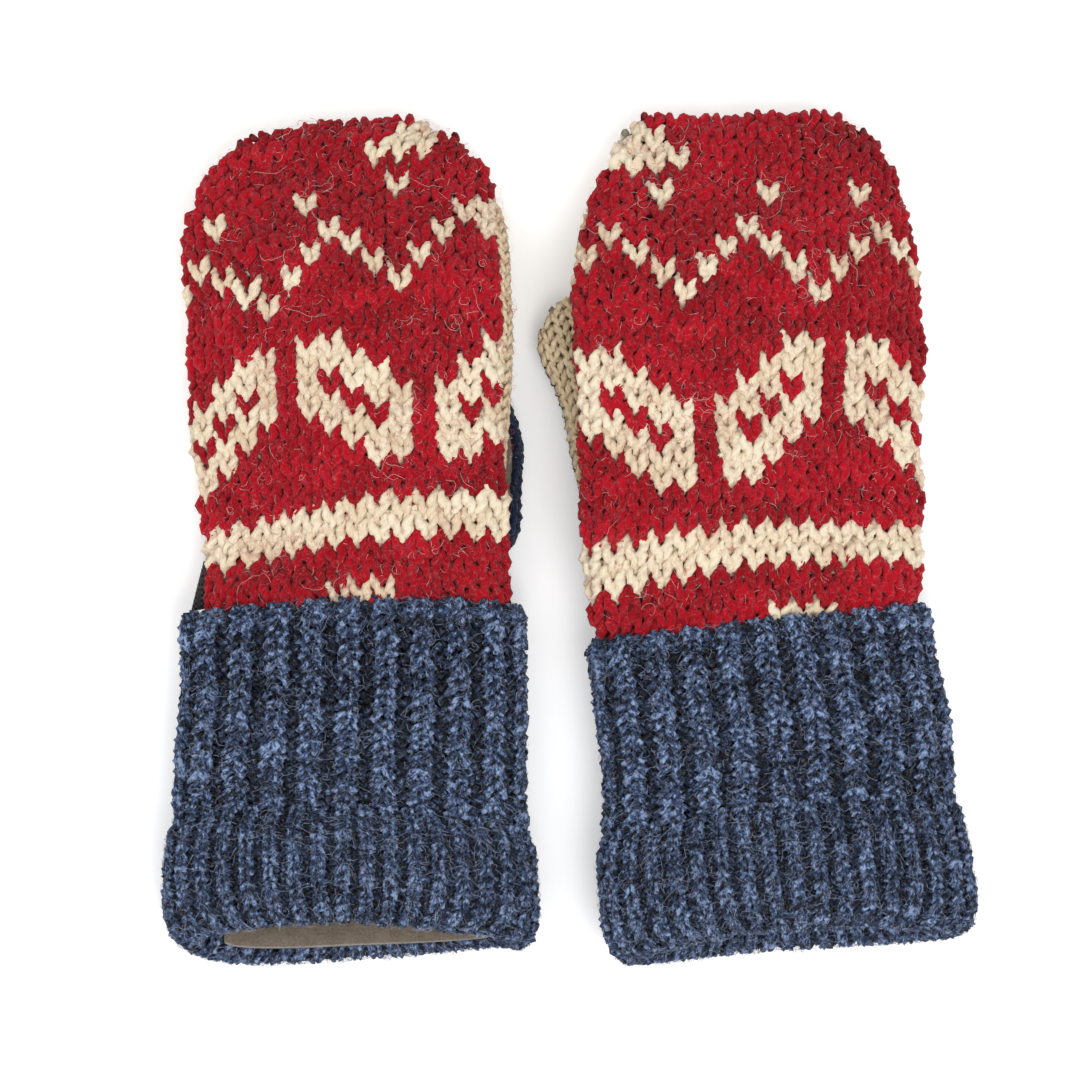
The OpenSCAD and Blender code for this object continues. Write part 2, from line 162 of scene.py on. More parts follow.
class MittenShape:
    """The outer surfaces of one mitten, as points for any place on its cloth."""

    def __init__(self, sizes: MittenSizes) -> None:
        """Takes the sizes and smooths the corners out of the outline."""
        self.sizes = sizes
        self.wrist_z = sizes.cuff_b
        self.hand_z = sizes.hand_t / 2
        self.thumb_clear = sizes.thumb_t + 0.7
        self.thumb_z = sizes.thumb_t / 2
        self.top_y = sizes.outline[-1][0]
        self.tip_close = 13.0
        self.body = f"{sizes.hand.value}_mitten"
        self.thumb_body = f"{sizes.hand.value}_thumb"
        ys, outer, inner = (np.array(v, float) for v in zip(*sizes.outline))
        fine = np.arange(ys[0], ys[-1] + 0.5, 0.5)
        kernel = np.ones(13) / 13
        self._edges = [fine]
        for side in (outer, inner):
            line = np.interp(fine, ys, side)
            padded = np.pad(line, 6, mode="reflect", reflect_type="odd")
            self._edges.append(np.convolve(padded, kernel, "valid"))

    def crown(self, c: Array) -> Array:
        """Height of a flattened section over its seam plane, from 0 at the edge to 1."""
        n = self.sizes.section_n
        return np.maximum(0, 1 - np.abs(c) ** n) ** (1 / n)

    def tip_share(self, y: Array, d: float) -> Array:
        """Share of the way along the round tip, for the skin at inset d."""
        s = self.sizes
        return np.clip((y - s.length + s.tip_l) / (s.tip_l - d), 0, TIP_END)

    def half_w(self, y: Array, d: float) -> Array:
        """Half of the width of the hand at inset d, as the model has it."""
        s = self.sizes
        wide = s.wrist_a + (s.hand_a - s.wrist_a) * smooth(118, 170, y) - d
        return wide * (1 - self.tip_share(y, d) ** s.tip_power) ** (1 / s.tip_root)

    def half_t(self, y: Array, d: float) -> Array:
        """Height of the hand's crown over its seam plane at inset d."""
        return (self.hand_z - self.sizes.seam_gap / 2 - d) * np.sqrt(1 - self.tip_share(y, d) ** 3)

    def mid_z(self, y: Array) -> Array:
        """Height of the middle of the hand, which drops from the cuff to the table."""
        return self.hand_z + (self.wrist_z - self.hand_z) * (1 - smooth(118, 140, y))

    def lift(self, x: Array, y: Array, low: float, high: float) -> Array:
        """How far the hand is raised over the thumb past the crotch.

        Args:
            x: Distance from the centre line.
            y: Height on the mitten.
            low: Where the rise starts, from the edge of the thumb.
            high: Where it is full.

        Returns:
            The rise at each point.
        """
        edge = 16 - 0.47 * (y - self.sizes.crotch_y)
        ramp = np.clip((x - edge - low) / (high - low), 0, 1)
        length = self.sizes.length
        return (self.thumb_clear * ramp * ramp * (3 - 2 * ramp)
                * (1 - smooth(length - 60, length - 22, y)))

    def lift_seam(self, x: Array, y: Array) -> Array:
        """Rise of the side seam and the back over the thumb."""
        crotch = self.sizes.crotch_y
        return self.lift(x, np.maximum(y, crotch), -52, 12) * smooth(117, crotch, y)

    def lift_palm(self, x: Array, y: Array) -> Array:
        """Rise of the palm beside and over the thumb.

        Args:
            x: Distance from the centre line.
            y: Height on the mitten.

        Returns:
            The rise at each point.
        """
        crotch = self.sizes.crotch_y
        below = (self.lift(x, np.full_like(y, crotch), -26, 0) * (1 - smooth(15, 20.5, x))
                 * smooth(125, crotch, y))
        return np.where(y > crotch, self.lift(x, y, -26, 0), below)

    def hand_height(self, x: Array, y: Array, c: Array, d: float, top: Array) -> Array:
        """Height of the back where top is true, and of the palm elsewhere.

        Args:
            x: Distance from the centre line, which sets the rise over the thumb.
            y: Height on the mitten.
            c: Place across the section, from -1 at the outer side to 1 at the thumb side.
            d: Inset from the outer face.
            top: Whether each point is on the back.

        Returns:
            The z of each point.
        """
        seam = self.lift_seam(x, y)
        z0 = self.mid_z(y) + seam
        gap = self.sizes.seam_gap / 2
        past = np.clip((y + d - self.top_y + self.tip_close) / self.tip_close, 0, 1)
        crown = self.crown(c) * np.sqrt(np.maximum(0.004, 1 - past ** 2.5))
        return np.where(top, z0 + gap + self.half_t(y, d) * crown,
                        z0 - gap - (self.half_t(y, d) + seam - self.lift_palm(x, y)) * crown)

    def knit_section(self, q: Array, y: Array, d: float = 0.0) -> Array:
        """Point of the hand at inset d, at turn q round it: the back is -1 to 1, the palm 1 to 3.

        Args:
            q: Turn round the hand.
            y: Height on the mitten.
            d: Inset from the outer face.

        Returns:
            The points.
        """
        reach = np.minimum(y + d, self.top_y)
        outer = np.interp(reach, self._edges[0], self._edges[1]) + d
        inner = np.interp(reach, self._edges[0], self._edges[2]) - d
        c = np.sin(q * math.pi / 2)
        x = (outer + inner) / 2 + (inner - outer) / 2 * c
        turn = np.mod(q + 1, 4)
        z = self.hand_height(x, y, c, d, turn < 2)
        return self.warp(np.stack([x, y, z], -1))

    def skin_point(self, c: Array, y: Array, d: float, top: bool) -> Array:
        """Point of the model's own hand at column c and inset d.

        Args:
            c: Place across the section, from -1 to 1.
            y: Height on the mitten.
            d: Inset from the outer face.
            top: Whether it is on the back.

        Returns:
            The points.
        """
        x = self.sizes.tip_lean * self.tip_share(y, d) ** 2 + self.half_w(y, d) * c
        z = self.hand_height(x, y, c, d, np.full(np.shape(x), top))
        return self.warp(np.stack([x, y, z], -1))

    def warp(self, p: Array) -> Array:
        """Turns the cuff about the wrist, and draws its mouth and its rim in or out.

        Args:
            p: Points of the straight mitten.

        Returns:
            The points as they lie.
        """
        s = self.sizes
        turn = np.radians(-s.bend * (1 - smooth(100, 150, p[..., 1])))
        height = p[..., 1]
        upper = smooth(60, 100, height) * (1 - smooth(s.cuff_h, s.cuff_h + 7, height))
        x = (p[..., 0] * (1 - 0.02 * upper) + s.shift[0] * upper
             + s.shift[1] * (1 - smooth(35, 75, height)))
        knots, slants, lows = s.mouth
        slant = np.interp(x, knots, slants)
        y = (p[..., 1] + np.interp(x, knots, lows) * (1 - smooth(4, 75, p[..., 1]))
             + np.interp(x, *s.rim) * smooth(80, 112, p[..., 1]) * (1 - smooth(120, 135, p[..., 1]))
             + slant * p[..., 2] / (2 * s.cuff_b) * (1 - smooth(10, 95, p[..., 1])))
        v = y - PIVOT_Y
        return np.stack([x * np.cos(turn) - v * np.sin(turn),
                         PIVOT_Y + x * np.sin(turn) + v * np.cos(turn), p[..., 2]], -1)

    def thumb_section(self, q: Array, s: Array) -> Array:
        """Point of the thumb at turn q round it and s along it: the cream half is -1 to 1.

        Args:
            q: Turn round the thumb.
            s: Distance along it from its root.

        Returns:
            The points.
        """
        sizes = self.sizes
        share = np.clip((s - sizes.thumb_l + sizes.thumb_tip_l) / sizes.thumb_tip_l, 0, TIP_END)
        wide = (sizes.thumb_a - 3.5 * smooth(4, 50, s)) * np.sqrt(1 - share ** 2.3)
        wide = np.where(s < 0, np.sqrt(np.maximum(sizes.thumb_a ** 2 - s * s, 4.0)), wide)
        high = (self.thumb_z - sizes.seam_gap / 2) * np.sqrt(1 - share ** 3)
        c = np.sin(q * math.pi / 2)
        rise = smooth(-14, 0, s)
        side = np.where(np.mod(q + 1, 4) < 2, 1.0, -1.0)
        z = self.thumb_z + side * (sizes.seam_gap / 2 + high * self.crown(c))
        low = self.thumb_z * (1 - self.crown(c)) * rise
        z = np.where((s < 0) & (side < 0), low, z)
        turn = math.radians(-sizes.thumb_turn)
        x = wide * c + (
            sizes.thumb_bulge[0] * np.exp(-((s - sizes.thumb_bulge[1]) / sizes.thumb_bulge[2]) ** 2)
            * np.maximum(c, 0))
        return np.stack([sizes.thumb_x + x * math.cos(turn) - s * math.sin(turn),
                         sizes.crotch_y + x * math.sin(turn) + s * math.cos(turn), z], -1)

    def ring_point(self, share: Array, y: Array, inset: Array, half: tuple[float, float]) -> Array:
        """Point of a cuff's ring.

        Args:
            share: Share of a turn round the cuff, from the thumb side over the back.
            y: Height on the mitten.
            inset: Distance inside the ring of the given halves.
            half: Half of the width and half of the thickness.

        Returns:
            The points.
        """
        t = share * TAU
        power = 2 / self.sizes.section_n
        rx = np.sign(np.cos(t)) * np.abs(np.cos(t)) ** power
        rz = np.sign(np.sin(t)) * np.abs(np.sin(t)) ** power
        z = np.maximum(0, self.wrist_z + (half[1] - inset) * rz)
        return self.warp(np.stack([(half[0] - inset) * rx, y + 0 * t, z], -1))

    def to_row(self, p: Array) -> Array:
        """Places points of the mitten on the table beside its pair, in metres.

        Args:
            p: Points in the mitten's own frame.

        Returns:
            Points in the part's frame.
        """
        s = self.sizes
        flip = -1.0 if s.hand is Hand.RIGHT else 1.0
        turn = math.radians(s.tilt)
        x, y = p[..., 0] * flip, p[..., 1]
        return np.stack([s.place[0] + x * math.cos(turn) - y * math.sin(turn),
                         s.place[1] + x * math.sin(turn) + y * math.cos(turn),
                         p[..., 2]], -1) * MM


class Skin:
    """A surface laid out in millimetres of cloth, across from its centre line and up it."""

    def __init__(self, section: Section, centre: float, ups: Array, reach: float,
                 spread: float = 1.5, step: float = 0.75) -> None:
        """Measures the cloth of a section function.

        Args:
            section: Gives the point at a turn round the piece and a height on it.
            centre: The turn of the piece's centre line.
            ups: Heights to sample, from low to high.
            reach: How far the cloth is laid out to each side, in mm.
            spread: How far round to each side the section is sampled.
            step: Spacing of the table across.
        """
        turns = np.linspace(centre - spread, centre + spread, 241)
        grid = section(turns[None, :], ups[:, None] + 0 * turns[None, :])
        middle = len(turns) // 2
        arc = np.zeros(grid.shape[:2])
        arc[:, 1:] = np.cumsum(np.linalg.norm(np.diff(grid, axis=1), axis=2), axis=1)
        arc -= arc[:, middle:middle + 1]
        self.across = np.arange(-reach, reach + step, step)
        self.points = np.stack(
            [np.stack([np.interp(self.across, arc[k], grid[k, :, i]) for k in range(len(ups))])
             for i in range(3)], -1)
        rise = np.linalg.norm(np.diff(grid[:, middle], axis=0), axis=1)
        self.ups = ups[0] + np.concatenate([[0], np.cumsum(rise)])
        self.heights = ups
        self.step = step
        quarter = [int(np.argmin(np.abs(turns - centre - side))) for side in (-1, 1)]
        self.edges = [arc[:, k] for k in quarter]
        along = np.gradient(self.points, axis=1)
        upward = np.gradient(self.points, axis=0)
        normal = np.cross(along, upward)
        length = np.linalg.norm(normal, axis=2, keepdims=True)
        self.normals = self._even(normal / np.maximum(length, 1e-9))

    @staticmethod
    def _even(normal: Array) -> Array:
        """Smooths a table of normals over its neighbours, so that yarn on it doesn't cross.

        Args:
            normal: The table.

        Returns:
            A table of unit normals.
        """
        out = normal.copy()
        for _ in range(3):
            padded = np.pad(out, ((1, 1), (2, 2), (0, 0)), mode="edge")
            out = (padded[1:-1, 2:-2] * 2 + padded[:-2, 2:-2] + padded[2:, 2:-2]
                   + padded[1:-1, :-4] + padded[1:-1, 4:]) / 6
        return out / np.maximum(np.linalg.norm(out, axis=2, keepdims=True), 1e-9)

    def edge(self, side: int, up: Array) -> Array:
        """Distance across to the side seam, on side 0 or 1, at distances up the cloth."""
        return np.interp(up, self.ups, self.edges[side])

    def up_of(self, height: float) -> float:
        """Distance up the cloth at a height on the mitten."""
        return float(np.interp(height, self.heights, self.ups))

    def at(self, across: Array, up: Array, out: Array) -> Array:
        """Points of the cloth, moved outwards by out.

        Args:
            across: Distance from the centre line.
            up: Distance up the cloth.
            out: Distance outwards.

        Returns:
            The points.
        """
        j = np.clip((across - self.across[0]) / self.step, 0, len(self.across) - 1.001)
        i = np.clip(np.interp(up, self.ups, np.arange(len(self.ups))), 0, len(self.ups) - 1.001)
        return self._sample(i, j, out, False)

    def _sample(self, i: Array, j: Array, out: Array, closed: bool) -> Array:
        """Reads the table between its rows and columns.

        Args:
            i: Rows.
            j: Columns.
            out: Distance outwards.
            closed: Whether the last column meets the first.

        Returns:
            The points.
        """
        i0, j0 = i.astype(int), j.astype(int)
        j1 = (j0 + 1) % self.points.shape[1] if closed else j0 + 1
        u, v = (i - i0)[..., None], (j - j0)[..., None]

        def read(table: Array) -> Array:
            """One table between its rows and columns."""
            return ((table[i0, j0] * (1 - v) + table[i0, j1] * v) * (1 - u)
                    + (table[i0 + 1, j0] * (1 - v) + table[i0 + 1, j1] * v) * u)

        return read(self.points) + read(self.normals) * np.asarray(out)[..., None]


class RingSkin(Skin):
    """A closed ring of cloth, laid out by shares of a turn and millimetres up its profile."""

    def __init__(self, shape: MittenShape, profile: Sequence[tuple[float, float]],
                 half: tuple[float, float]) -> None:
        """Sweeps the profile's (height, inset) points round the cuff, at one spacing of cloth.

        Args:
            shape: The mitten.
            profile: The points, from one end of the cloth to the other.
            half: Half of the ring's width and half of its thickness.
        """
        knots = np.array(profile, float)
        run = np.concatenate([[0], np.cumsum(np.linalg.norm(np.diff(knots, axis=0), axis=1))])
        self.ups = np.arange(0, run[-1], 0.8)
        y, inset = (np.convolve(np.pad(np.interp(self.ups, run, knots[:, i]), 3, mode="edge"),
                                np.ones(7) / 7, "valid") for i in (0, 1))
        around = 400
        fine = np.linspace(0, 1, 1601)
        rows = []
        for height, depth in zip(y, inset):
            ring = shape.ring_point(fine, height, depth, half)
            arc = np.concatenate([[0], np.cumsum(np.linalg.norm(np.diff(ring, axis=0), axis=1))])
            even = np.interp(np.arange(around) / around * arc[-1], arc, fine)
            rows.append(shape.ring_point(even, height, depth, half))
        self.points = np.stack(rows)
        self.girth = float(np.mean([np.linalg.norm(np.diff(r, axis=0), axis=1).sum()
                                    for r in rows]))
        along = np.roll(self.points, -1, 1) - np.roll(self.points, 1, 1)
        normal = -np.cross(along, np.gradient(self.points, axis=0))
        self.normals = self._even(
            normal / np.maximum(np.linalg.norm(normal, axis=2, keepdims=True), 1e-9))

    def at(self, across: Array, up: Array, out: Array) -> Array:
        """Points of the ring at shares of a turn, moved outwards by out.

        Args:
            across: Share of a turn.
            up: Distance up the profile.
            out: Distance outwards.

        Returns:
            The points.
        """
        n = self.points.shape[1]
        i = np.clip(np.interp(up, self.ups, np.arange(len(self.ups))), 0, len(self.ups) - 1.001)
        return self._sample(i, np.mod(across, 1.0) * n % n, out, True)


# ---- finishes ----


class NodeBoard:
    """Lays out a node tree in few words."""

    def __init__(self, tree: bpy.types.NodeTree) -> None:
        """Works on the given tree."""
        self.tree = tree

    def add(self, kind: str, inputs: dict | None = None, **settings: object) -> bpy.types.Node:
        """Adds a node.

        Args:
            kind: The node's Blender type.
            inputs: Values, or sockets to link from, by input name or number.
            settings: Properties of the node itself.

        Returns:
            The new node.
        """
        node = self.tree.nodes.new(kind)
        for name, value in settings.items():
            setattr(node, name, value)
        for key, value in (inputs or {}).items():
            if isinstance(value, bpy.types.NodeSocket):
                self.tree.links.new(value, node.inputs[key])
            else:
                node.inputs[key].default_value = value
        return node

    def math(self, operation: str, a: object, b: object = 0.0, clamp: bool = False) -> object:
        """Socket of a sum, product or other operation on two values or sockets."""
        return self.add("ShaderNodeMath", {0: a, 1: b}, operation=operation,
                        use_clamp=clamp).outputs[0]

    def mix(self, share: object, a: object, b: object, blend: str = "MIX") -> object:
        """Socket of a colour between a and b.

        Args:
            share: Share of b.
            a: A colour or a socket.
            b: A colour or a socket.
            blend: The node's way to blend them.

        Returns:
            The socket.
        """
        node = self.add("ShaderNodeMix", {0: share}, data_type="RGBA", blend_type=blend)
        for key, value in ((6, a), (7, b)):
            if isinstance(value, bpy.types.NodeSocket):
                self.tree.links.new(value, node.inputs[key])
            else:
                node.inputs[key].default_value = (*value, 1.0)
        return node.outputs[2]

    def ramp(self, value: object, low: float, high: float, start: float = 0.0,
             end: float = 1.0) -> object:
        """Socket that goes from start to end as value goes from low to high."""
        return self.add("ShaderNodeMapRange", {0: value, 1: low, 2: high, 3: start, 4: end},
                        interpolation_type="SMOOTHSTEP").outputs[0]

    def noise(self, vector: object, scale: float, detail: float = 2.0) -> object:
        """Socket of a noise value."""
        return self.add("ShaderNodeTexNoise", {"Vector": vector, "Scale": scale,
                                               "Detail": detail}).outputs[0]


def new_group(name: str, inputs: dict[str, str], outputs: dict[str, str],
              kind: str = "ShaderNodeTree") -> tuple[NodeBoard, object, object]:
    """Starts a node group.

    Args:
        name: The group's name.
        inputs: Socket types by input name.
        outputs: Socket types by output name.
        kind: The type of tree.

    Returns:
        The board to lay it out on, its input node and its output node.
    """
    tree = bpy.data.node_groups.new(name, kind)
    for in_out, sockets in (("INPUT", inputs), ("OUTPUT", outputs)):
        for socket, socket_type in sockets.items():
            tree.interface.new_socket(socket, in_out=in_out, socket_type=socket_type)
    board = NodeBoard(tree)
    return board, board.add("NodeGroupInput"), board.add("NodeGroupOutput")


class SharedEffects:
    """Node groups that more than one finish uses, each built once."""

    _made: dict[str, bpy.types.NodeTree] = {}

    @classmethod
    def spun_fibres(cls) -> bpy.types.NodeTree:
        """Fibres that wind round a yarn: light and dark streaks, hairs and their height."""
        if "spun" not in cls._made:
            board, inp, out = new_group(
                "Spun fibres", {"Twist": "NodeSocketFloat", "Fineness": "NodeSocketFloat"},
                {"Streak": "NodeSocketFloat", "Hair": "NodeSocketFloat",
                 "Height": "NodeSocketFloat"})
            along = board.add("ShaderNodeAttribute", attribute_name="along").outputs["Fac"]
            around = board.add("ShaderNodeAttribute", attribute_name="round").outputs["Vector"]
            turned = board.add("ShaderNodeVectorRotate", {
                "Vector": around, "Angle": board.math("MULTIPLY", along, inp.outputs["Twist"])},
                rotation_type="Z_AXIS").outputs[0]
            split = board.add("ShaderNodeSeparateXYZ", {0: turned})
            laid = board.add("ShaderNodeCombineXYZ", {
                0: split.outputs[0], 1: split.outputs[1],
                2: board.math("MULTIPLY", along, 0.16)}).outputs[0]
            streak = board.noise(laid, 1.0, 3.0)
            streak.node.inputs["Roughness"].default_value = 0.65
            board.tree.links.new(inp.outputs["Fineness"], streak.node.inputs["Scale"])
            place = board.add("ShaderNodeTexCoord").outputs["Object"]
            curl = board.noise(place, 260.0, 2.0)
            bent = board.add("ShaderNodeVectorMath", {
                0: place, 1: board.add("ShaderNodeVectorMath", {
                    0: board.add("ShaderNodeTexNoise", {"Vector": place, "Scale": 300.0,
                                                        "Detail": 1.0}).outputs["Color"],
                    "Scale": 0.003}, operation="SCALE").outputs[0]}, operation="ADD").outputs[0]
            hair = board.ramp(board.math("ABSOLUTE", board.math(
                "SUBTRACT", board.noise(bent, 420.0, 1.0), 0.5)), 0.0, 0.022, 1.0, 0.0)
            fluff = board.noise(place, 2200.0, 3.0)
            height = board.math("ADD", board.math("MULTIPLY", streak, 0.7),
                                board.math("ADD", board.math("MULTIPLY", fluff, 0.35),
                                           board.math("MULTIPLY", curl, 0.25)))
            for name, socket in (("Streak", streak), ("Hair", hair), ("Height", height)):
                board.tree.links.new(socket, out.inputs[name])
            cls._made["spun"] = board.tree
        return cls._made["spun"]

    @classmethod
    def cloudy(cls) -> bpy.types.NodeTree:
        """Soft uneven colour over a whole piece, and a fine fluff."""
        if "cloudy" not in cls._made:
            board, inp, out = new_group(
                "Cloudy wool", {"Size": "NodeSocketFloat"},
                {"Cloud": "NodeSocketFloat", "Fluff": "NodeSocketFloat"})
            place = board.add("ShaderNodeTexCoord").outputs["Object"]
            cloud = board.noise(place, 1.0, 3.0)
            board.tree.links.new(inp.outputs["Size"], cloud.node.inputs["Scale"])
            board.tree.links.new(cloud, out.inputs["Cloud"])
            board.tree.links.new(board.noise(place, 900.0, 4.0), out.inputs["Fluff"])
            cls._made["cloudy"] = board.tree
        return cls._made["cloudy"]


@dataclass(frozen=True)
class WoolFinish:
    """A wool yarn: its colour, a second colour for patterns or flecks, and its fibres."""

    name: str
    colour: Rgb
    second: Rgb
    dark: Rgb
    twist: float = 0.75
    fineness: float = 2.6
    marl_and_painted_shade: float = 0.0
    bump: float = 0.5
    sheen: float = 0.1
    hair: float = 0.25
    pattern_dark: Rgb = (0.84, 0.72, 0.66)

    def build(self) -> bpy.types.Material:
        """Makes the material.

        Returns:
            The material, whose pattern follows the yarn's own attributes.
        """
        material = bpy.data.materials.new(self.name)
        material.use_nodes = True
        board = NodeBoard(material.node_tree)
        shader = material.node_tree.nodes["Principled BSDF"]
        spun = board.add("ShaderNodeGroup", node_tree=SharedEffects.spun_fibres())
        spun.inputs["Twist"].default_value = self.twist
        spun.inputs["Fineness"].default_value = self.fineness
        cloudy = board.add("ShaderNodeGroup", node_tree=SharedEffects.cloudy())
        cloudy.inputs["Size"].default_value = 30.0 if self.marl_and_painted_shade == 0 else 560.0
        tint = board.add("ShaderNodeAttribute", attribute_name="tint").outputs["Fac"]
        shade = board.add("ShaderNodeAttribute", attribute_name="shade").outputs["Fac"]
        streak = spun.outputs["Streak"]
        if self.marl_and_painted_shade > 0:
            level = board.math("ADD", board.math("MULTIPLY", streak, 0.45),
                               board.math("MULTIPLY", cloudy.outputs["Cloud"], 0.55))
            # The stored shade adds a random tone, and on the cuff's rib it darkens the recessed purl
            # stitches as painted shade and lightens the crests as a painted highlight.
            level = board.math("ADD", level, board.math("MULTIPLY", shade, self.marl_and_painted_shade))
            colour = board.mix(board.ramp(level, 0.42, 0.54), self.dark, self.colour)
            colour = board.mix(board.ramp(level, 0.52, 0.64), colour, self.second)
        else:
            colour = board.mix(board.ramp(tint, 0.3, 0.7), self.colour, self.second)
            level = board.math("ADD", streak, board.math("MULTIPLY", shade, 0.2))
            level = board.math("ADD", level, board.math(
                "MULTIPLY", board.math("SUBTRACT", cloudy.outputs["Cloud"], 0.5), 0.3))
            shadow = board.mix(tint, self.dark, self.pattern_dark)
            colour = board.mix(board.ramp(level, 0.3, 0.68, 0.9, 0.0), colour, shadow,
                               "MULTIPLY")
        pale = board.mix(0.6, colour, (0.8, 0.72, 0.68))
        colour = board.mix(board.math("MULTIPLY", spun.outputs["Hair"], self.hair), colour, pale)
        material.node_tree.links.new(colour, shader.inputs["Base Color"])
        bump = board.add("ShaderNodeBump", {"Height": spun.outputs["Height"],
                                            "Strength": self.bump, "Distance": 0.0009})
        material.node_tree.links.new(bump.outputs[0], shader.inputs["Normal"])
        shader.inputs["Roughness"].default_value = 0.9
        shader.inputs["Specular IOR Level"].default_value = 0.1
        shader.inputs["Sheen Weight"].default_value = self.sheen
        shader.inputs["Sheen Roughness"].default_value = 0.5
        return material


@dataclass(frozen=True)
class NapFinish:
    """A cloth with no yarn of its own to see: fleece, tape, thread or the backing of a knit."""

    name: str
    colour: Rgb
    second: Rgb
    grain: float = 900.0
    bump: float = 0.5
    woven: bool = False

    def build(self) -> bpy.types.Material:
        """Makes the material.

        Returns:
            The material, with a nap or a weave on the piece's own coordinates.
        """
        material = bpy.data.materials.new(self.name)
        material.use_nodes = True
        board = NodeBoard(material.node_tree)
        shader = material.node_tree.nodes["Principled BSDF"]
        cloudy = board.add("ShaderNodeGroup", node_tree=SharedEffects.cloudy())
        cloudy.inputs["Size"].default_value = 160.0
        place = board.add("ShaderNodeTexCoord").outputs["Object"]
        if self.woven:
            weave = board.add("ShaderNodeTexChecker", {
                "Vector": place, "Color1": (1, 1, 1, 1), "Color2": (0, 0, 0, 1),
                "Scale": self.grain})
            nap = weave.outputs["Fac"]
        else:
            nap = board.noise(place, self.grain, 4.0)
        level = board.math("ADD", board.math("MULTIPLY", nap, 0.6),
                           board.math("MULTIPLY", cloudy.outputs["Cloud"], 0.5))
        colour = board.mix(board.ramp(level, 0.3, 0.8), self.colour, self.second)
        material.node_tree.links.new(colour, shader.inputs["Base Color"])
        height = board.math("ADD", nap, board.math("MULTIPLY", cloudy.outputs["Fluff"], 0.7))
        bump = board.add("ShaderNodeBump", {"Height": height, "Strength": self.bump,
                                            "Distance": 0.0007})
        material.node_tree.links.new(bump.outputs[0], shader.inputs["Normal"])
        shader.inputs["Roughness"].default_value = 0.95
        shader.inputs["Specular IOR Level"].default_value = 0.15
        shader.inputs["Sheen Weight"].default_value = 0.35
        return material


RED = srgb(178, 10, 32)
CREAM = srgb(236, 223, 197)


class Finish(Enum):
    """Every finish of the pair, by what it is."""

    BACK = WoolFinish("Red and cream wool", RED, CREAM, (0.5, 0.34, 0.36), hair=0.16, bump=0.8)
    PALM = WoolFinish("Cream wool", srgb(232, 214, 182), CREAM, (0.7, 0.64, 0.54),
                      twist=1.1, fineness=2.2, bump=0.5)
    LOWER = WoolFinish("Navy wool", srgb(34, 46, 72), srgb(56, 70, 102), (0.5, 0.5, 0.55),
                       twist=1.1, fineness=2.2, bump=0.4, hair=0.15)
    CUFF = WoolFinish("Marled blue wool", srgb(58, 76, 110), srgb(142, 164, 202),
                      srgb(9, 12, 19), twist=0.9, fineness=2.4, marl_and_painted_shade=0.1, bump=1.0, sheen=0.08,
                      hair=0.3)
    FUZZ_RED = WoolFinish("Loose red and pale hairs", srgb(200, 60, 80), srgb(235, 215, 205),
                          (0.8, 0.8, 0.8), hair=0.0, sheen=0.2, bump=0.1)
    FUZZ_BLUE = WoolFinish("Loose blue and pale hairs", srgb(44, 58, 90), srgb(150, 164, 190),
                           (0.7, 0.7, 0.7), hair=0.0, sheen=0.2, bump=0.1)
    # The backings are set darker than the wool they lie under or inside: painted shade in the gaps
    # between the stitches and inside the cuff.
    BACKING_RED = NapFinish("Red backing", srgb(138, 12, 28), srgb(164, 20, 38))
    BACKING_CREAM = NapFinish("Cream backing", srgb(170, 150, 118), srgb(200, 182, 150))
    BACKING_NAVY = NapFinish("Navy backing", srgb(18, 22, 34), srgb(28, 34, 50))
    BACKING_BLUE = NapFinish("Blue backing", srgb(20, 27, 44), srgb(44, 60, 96))
    # Taupe fleece, set darker than its own colour: partly painted shade inside the mouth of the
    # mitten.
    FLEECE = NapFinish("Taupe fleece", srgb(88, 78, 68), srgb(122, 110, 97), grain=1300.0,
                       bump=0.8)
    TAPE = NapFinish("Woven tape", srgb(16, 15, 16), srgb(58, 56, 54), grain=1100.0, woven=True)
    THREAD = NapFinish("Sewing thread", srgb(34, 38, 50), srgb(60, 64, 78))

    def material(self) -> bpy.types.Material:
        """The finish's material, built the first time it is asked for."""
        return bpy.data.materials.get(self.value.name) or self.value.build()


# ---- yarn ----


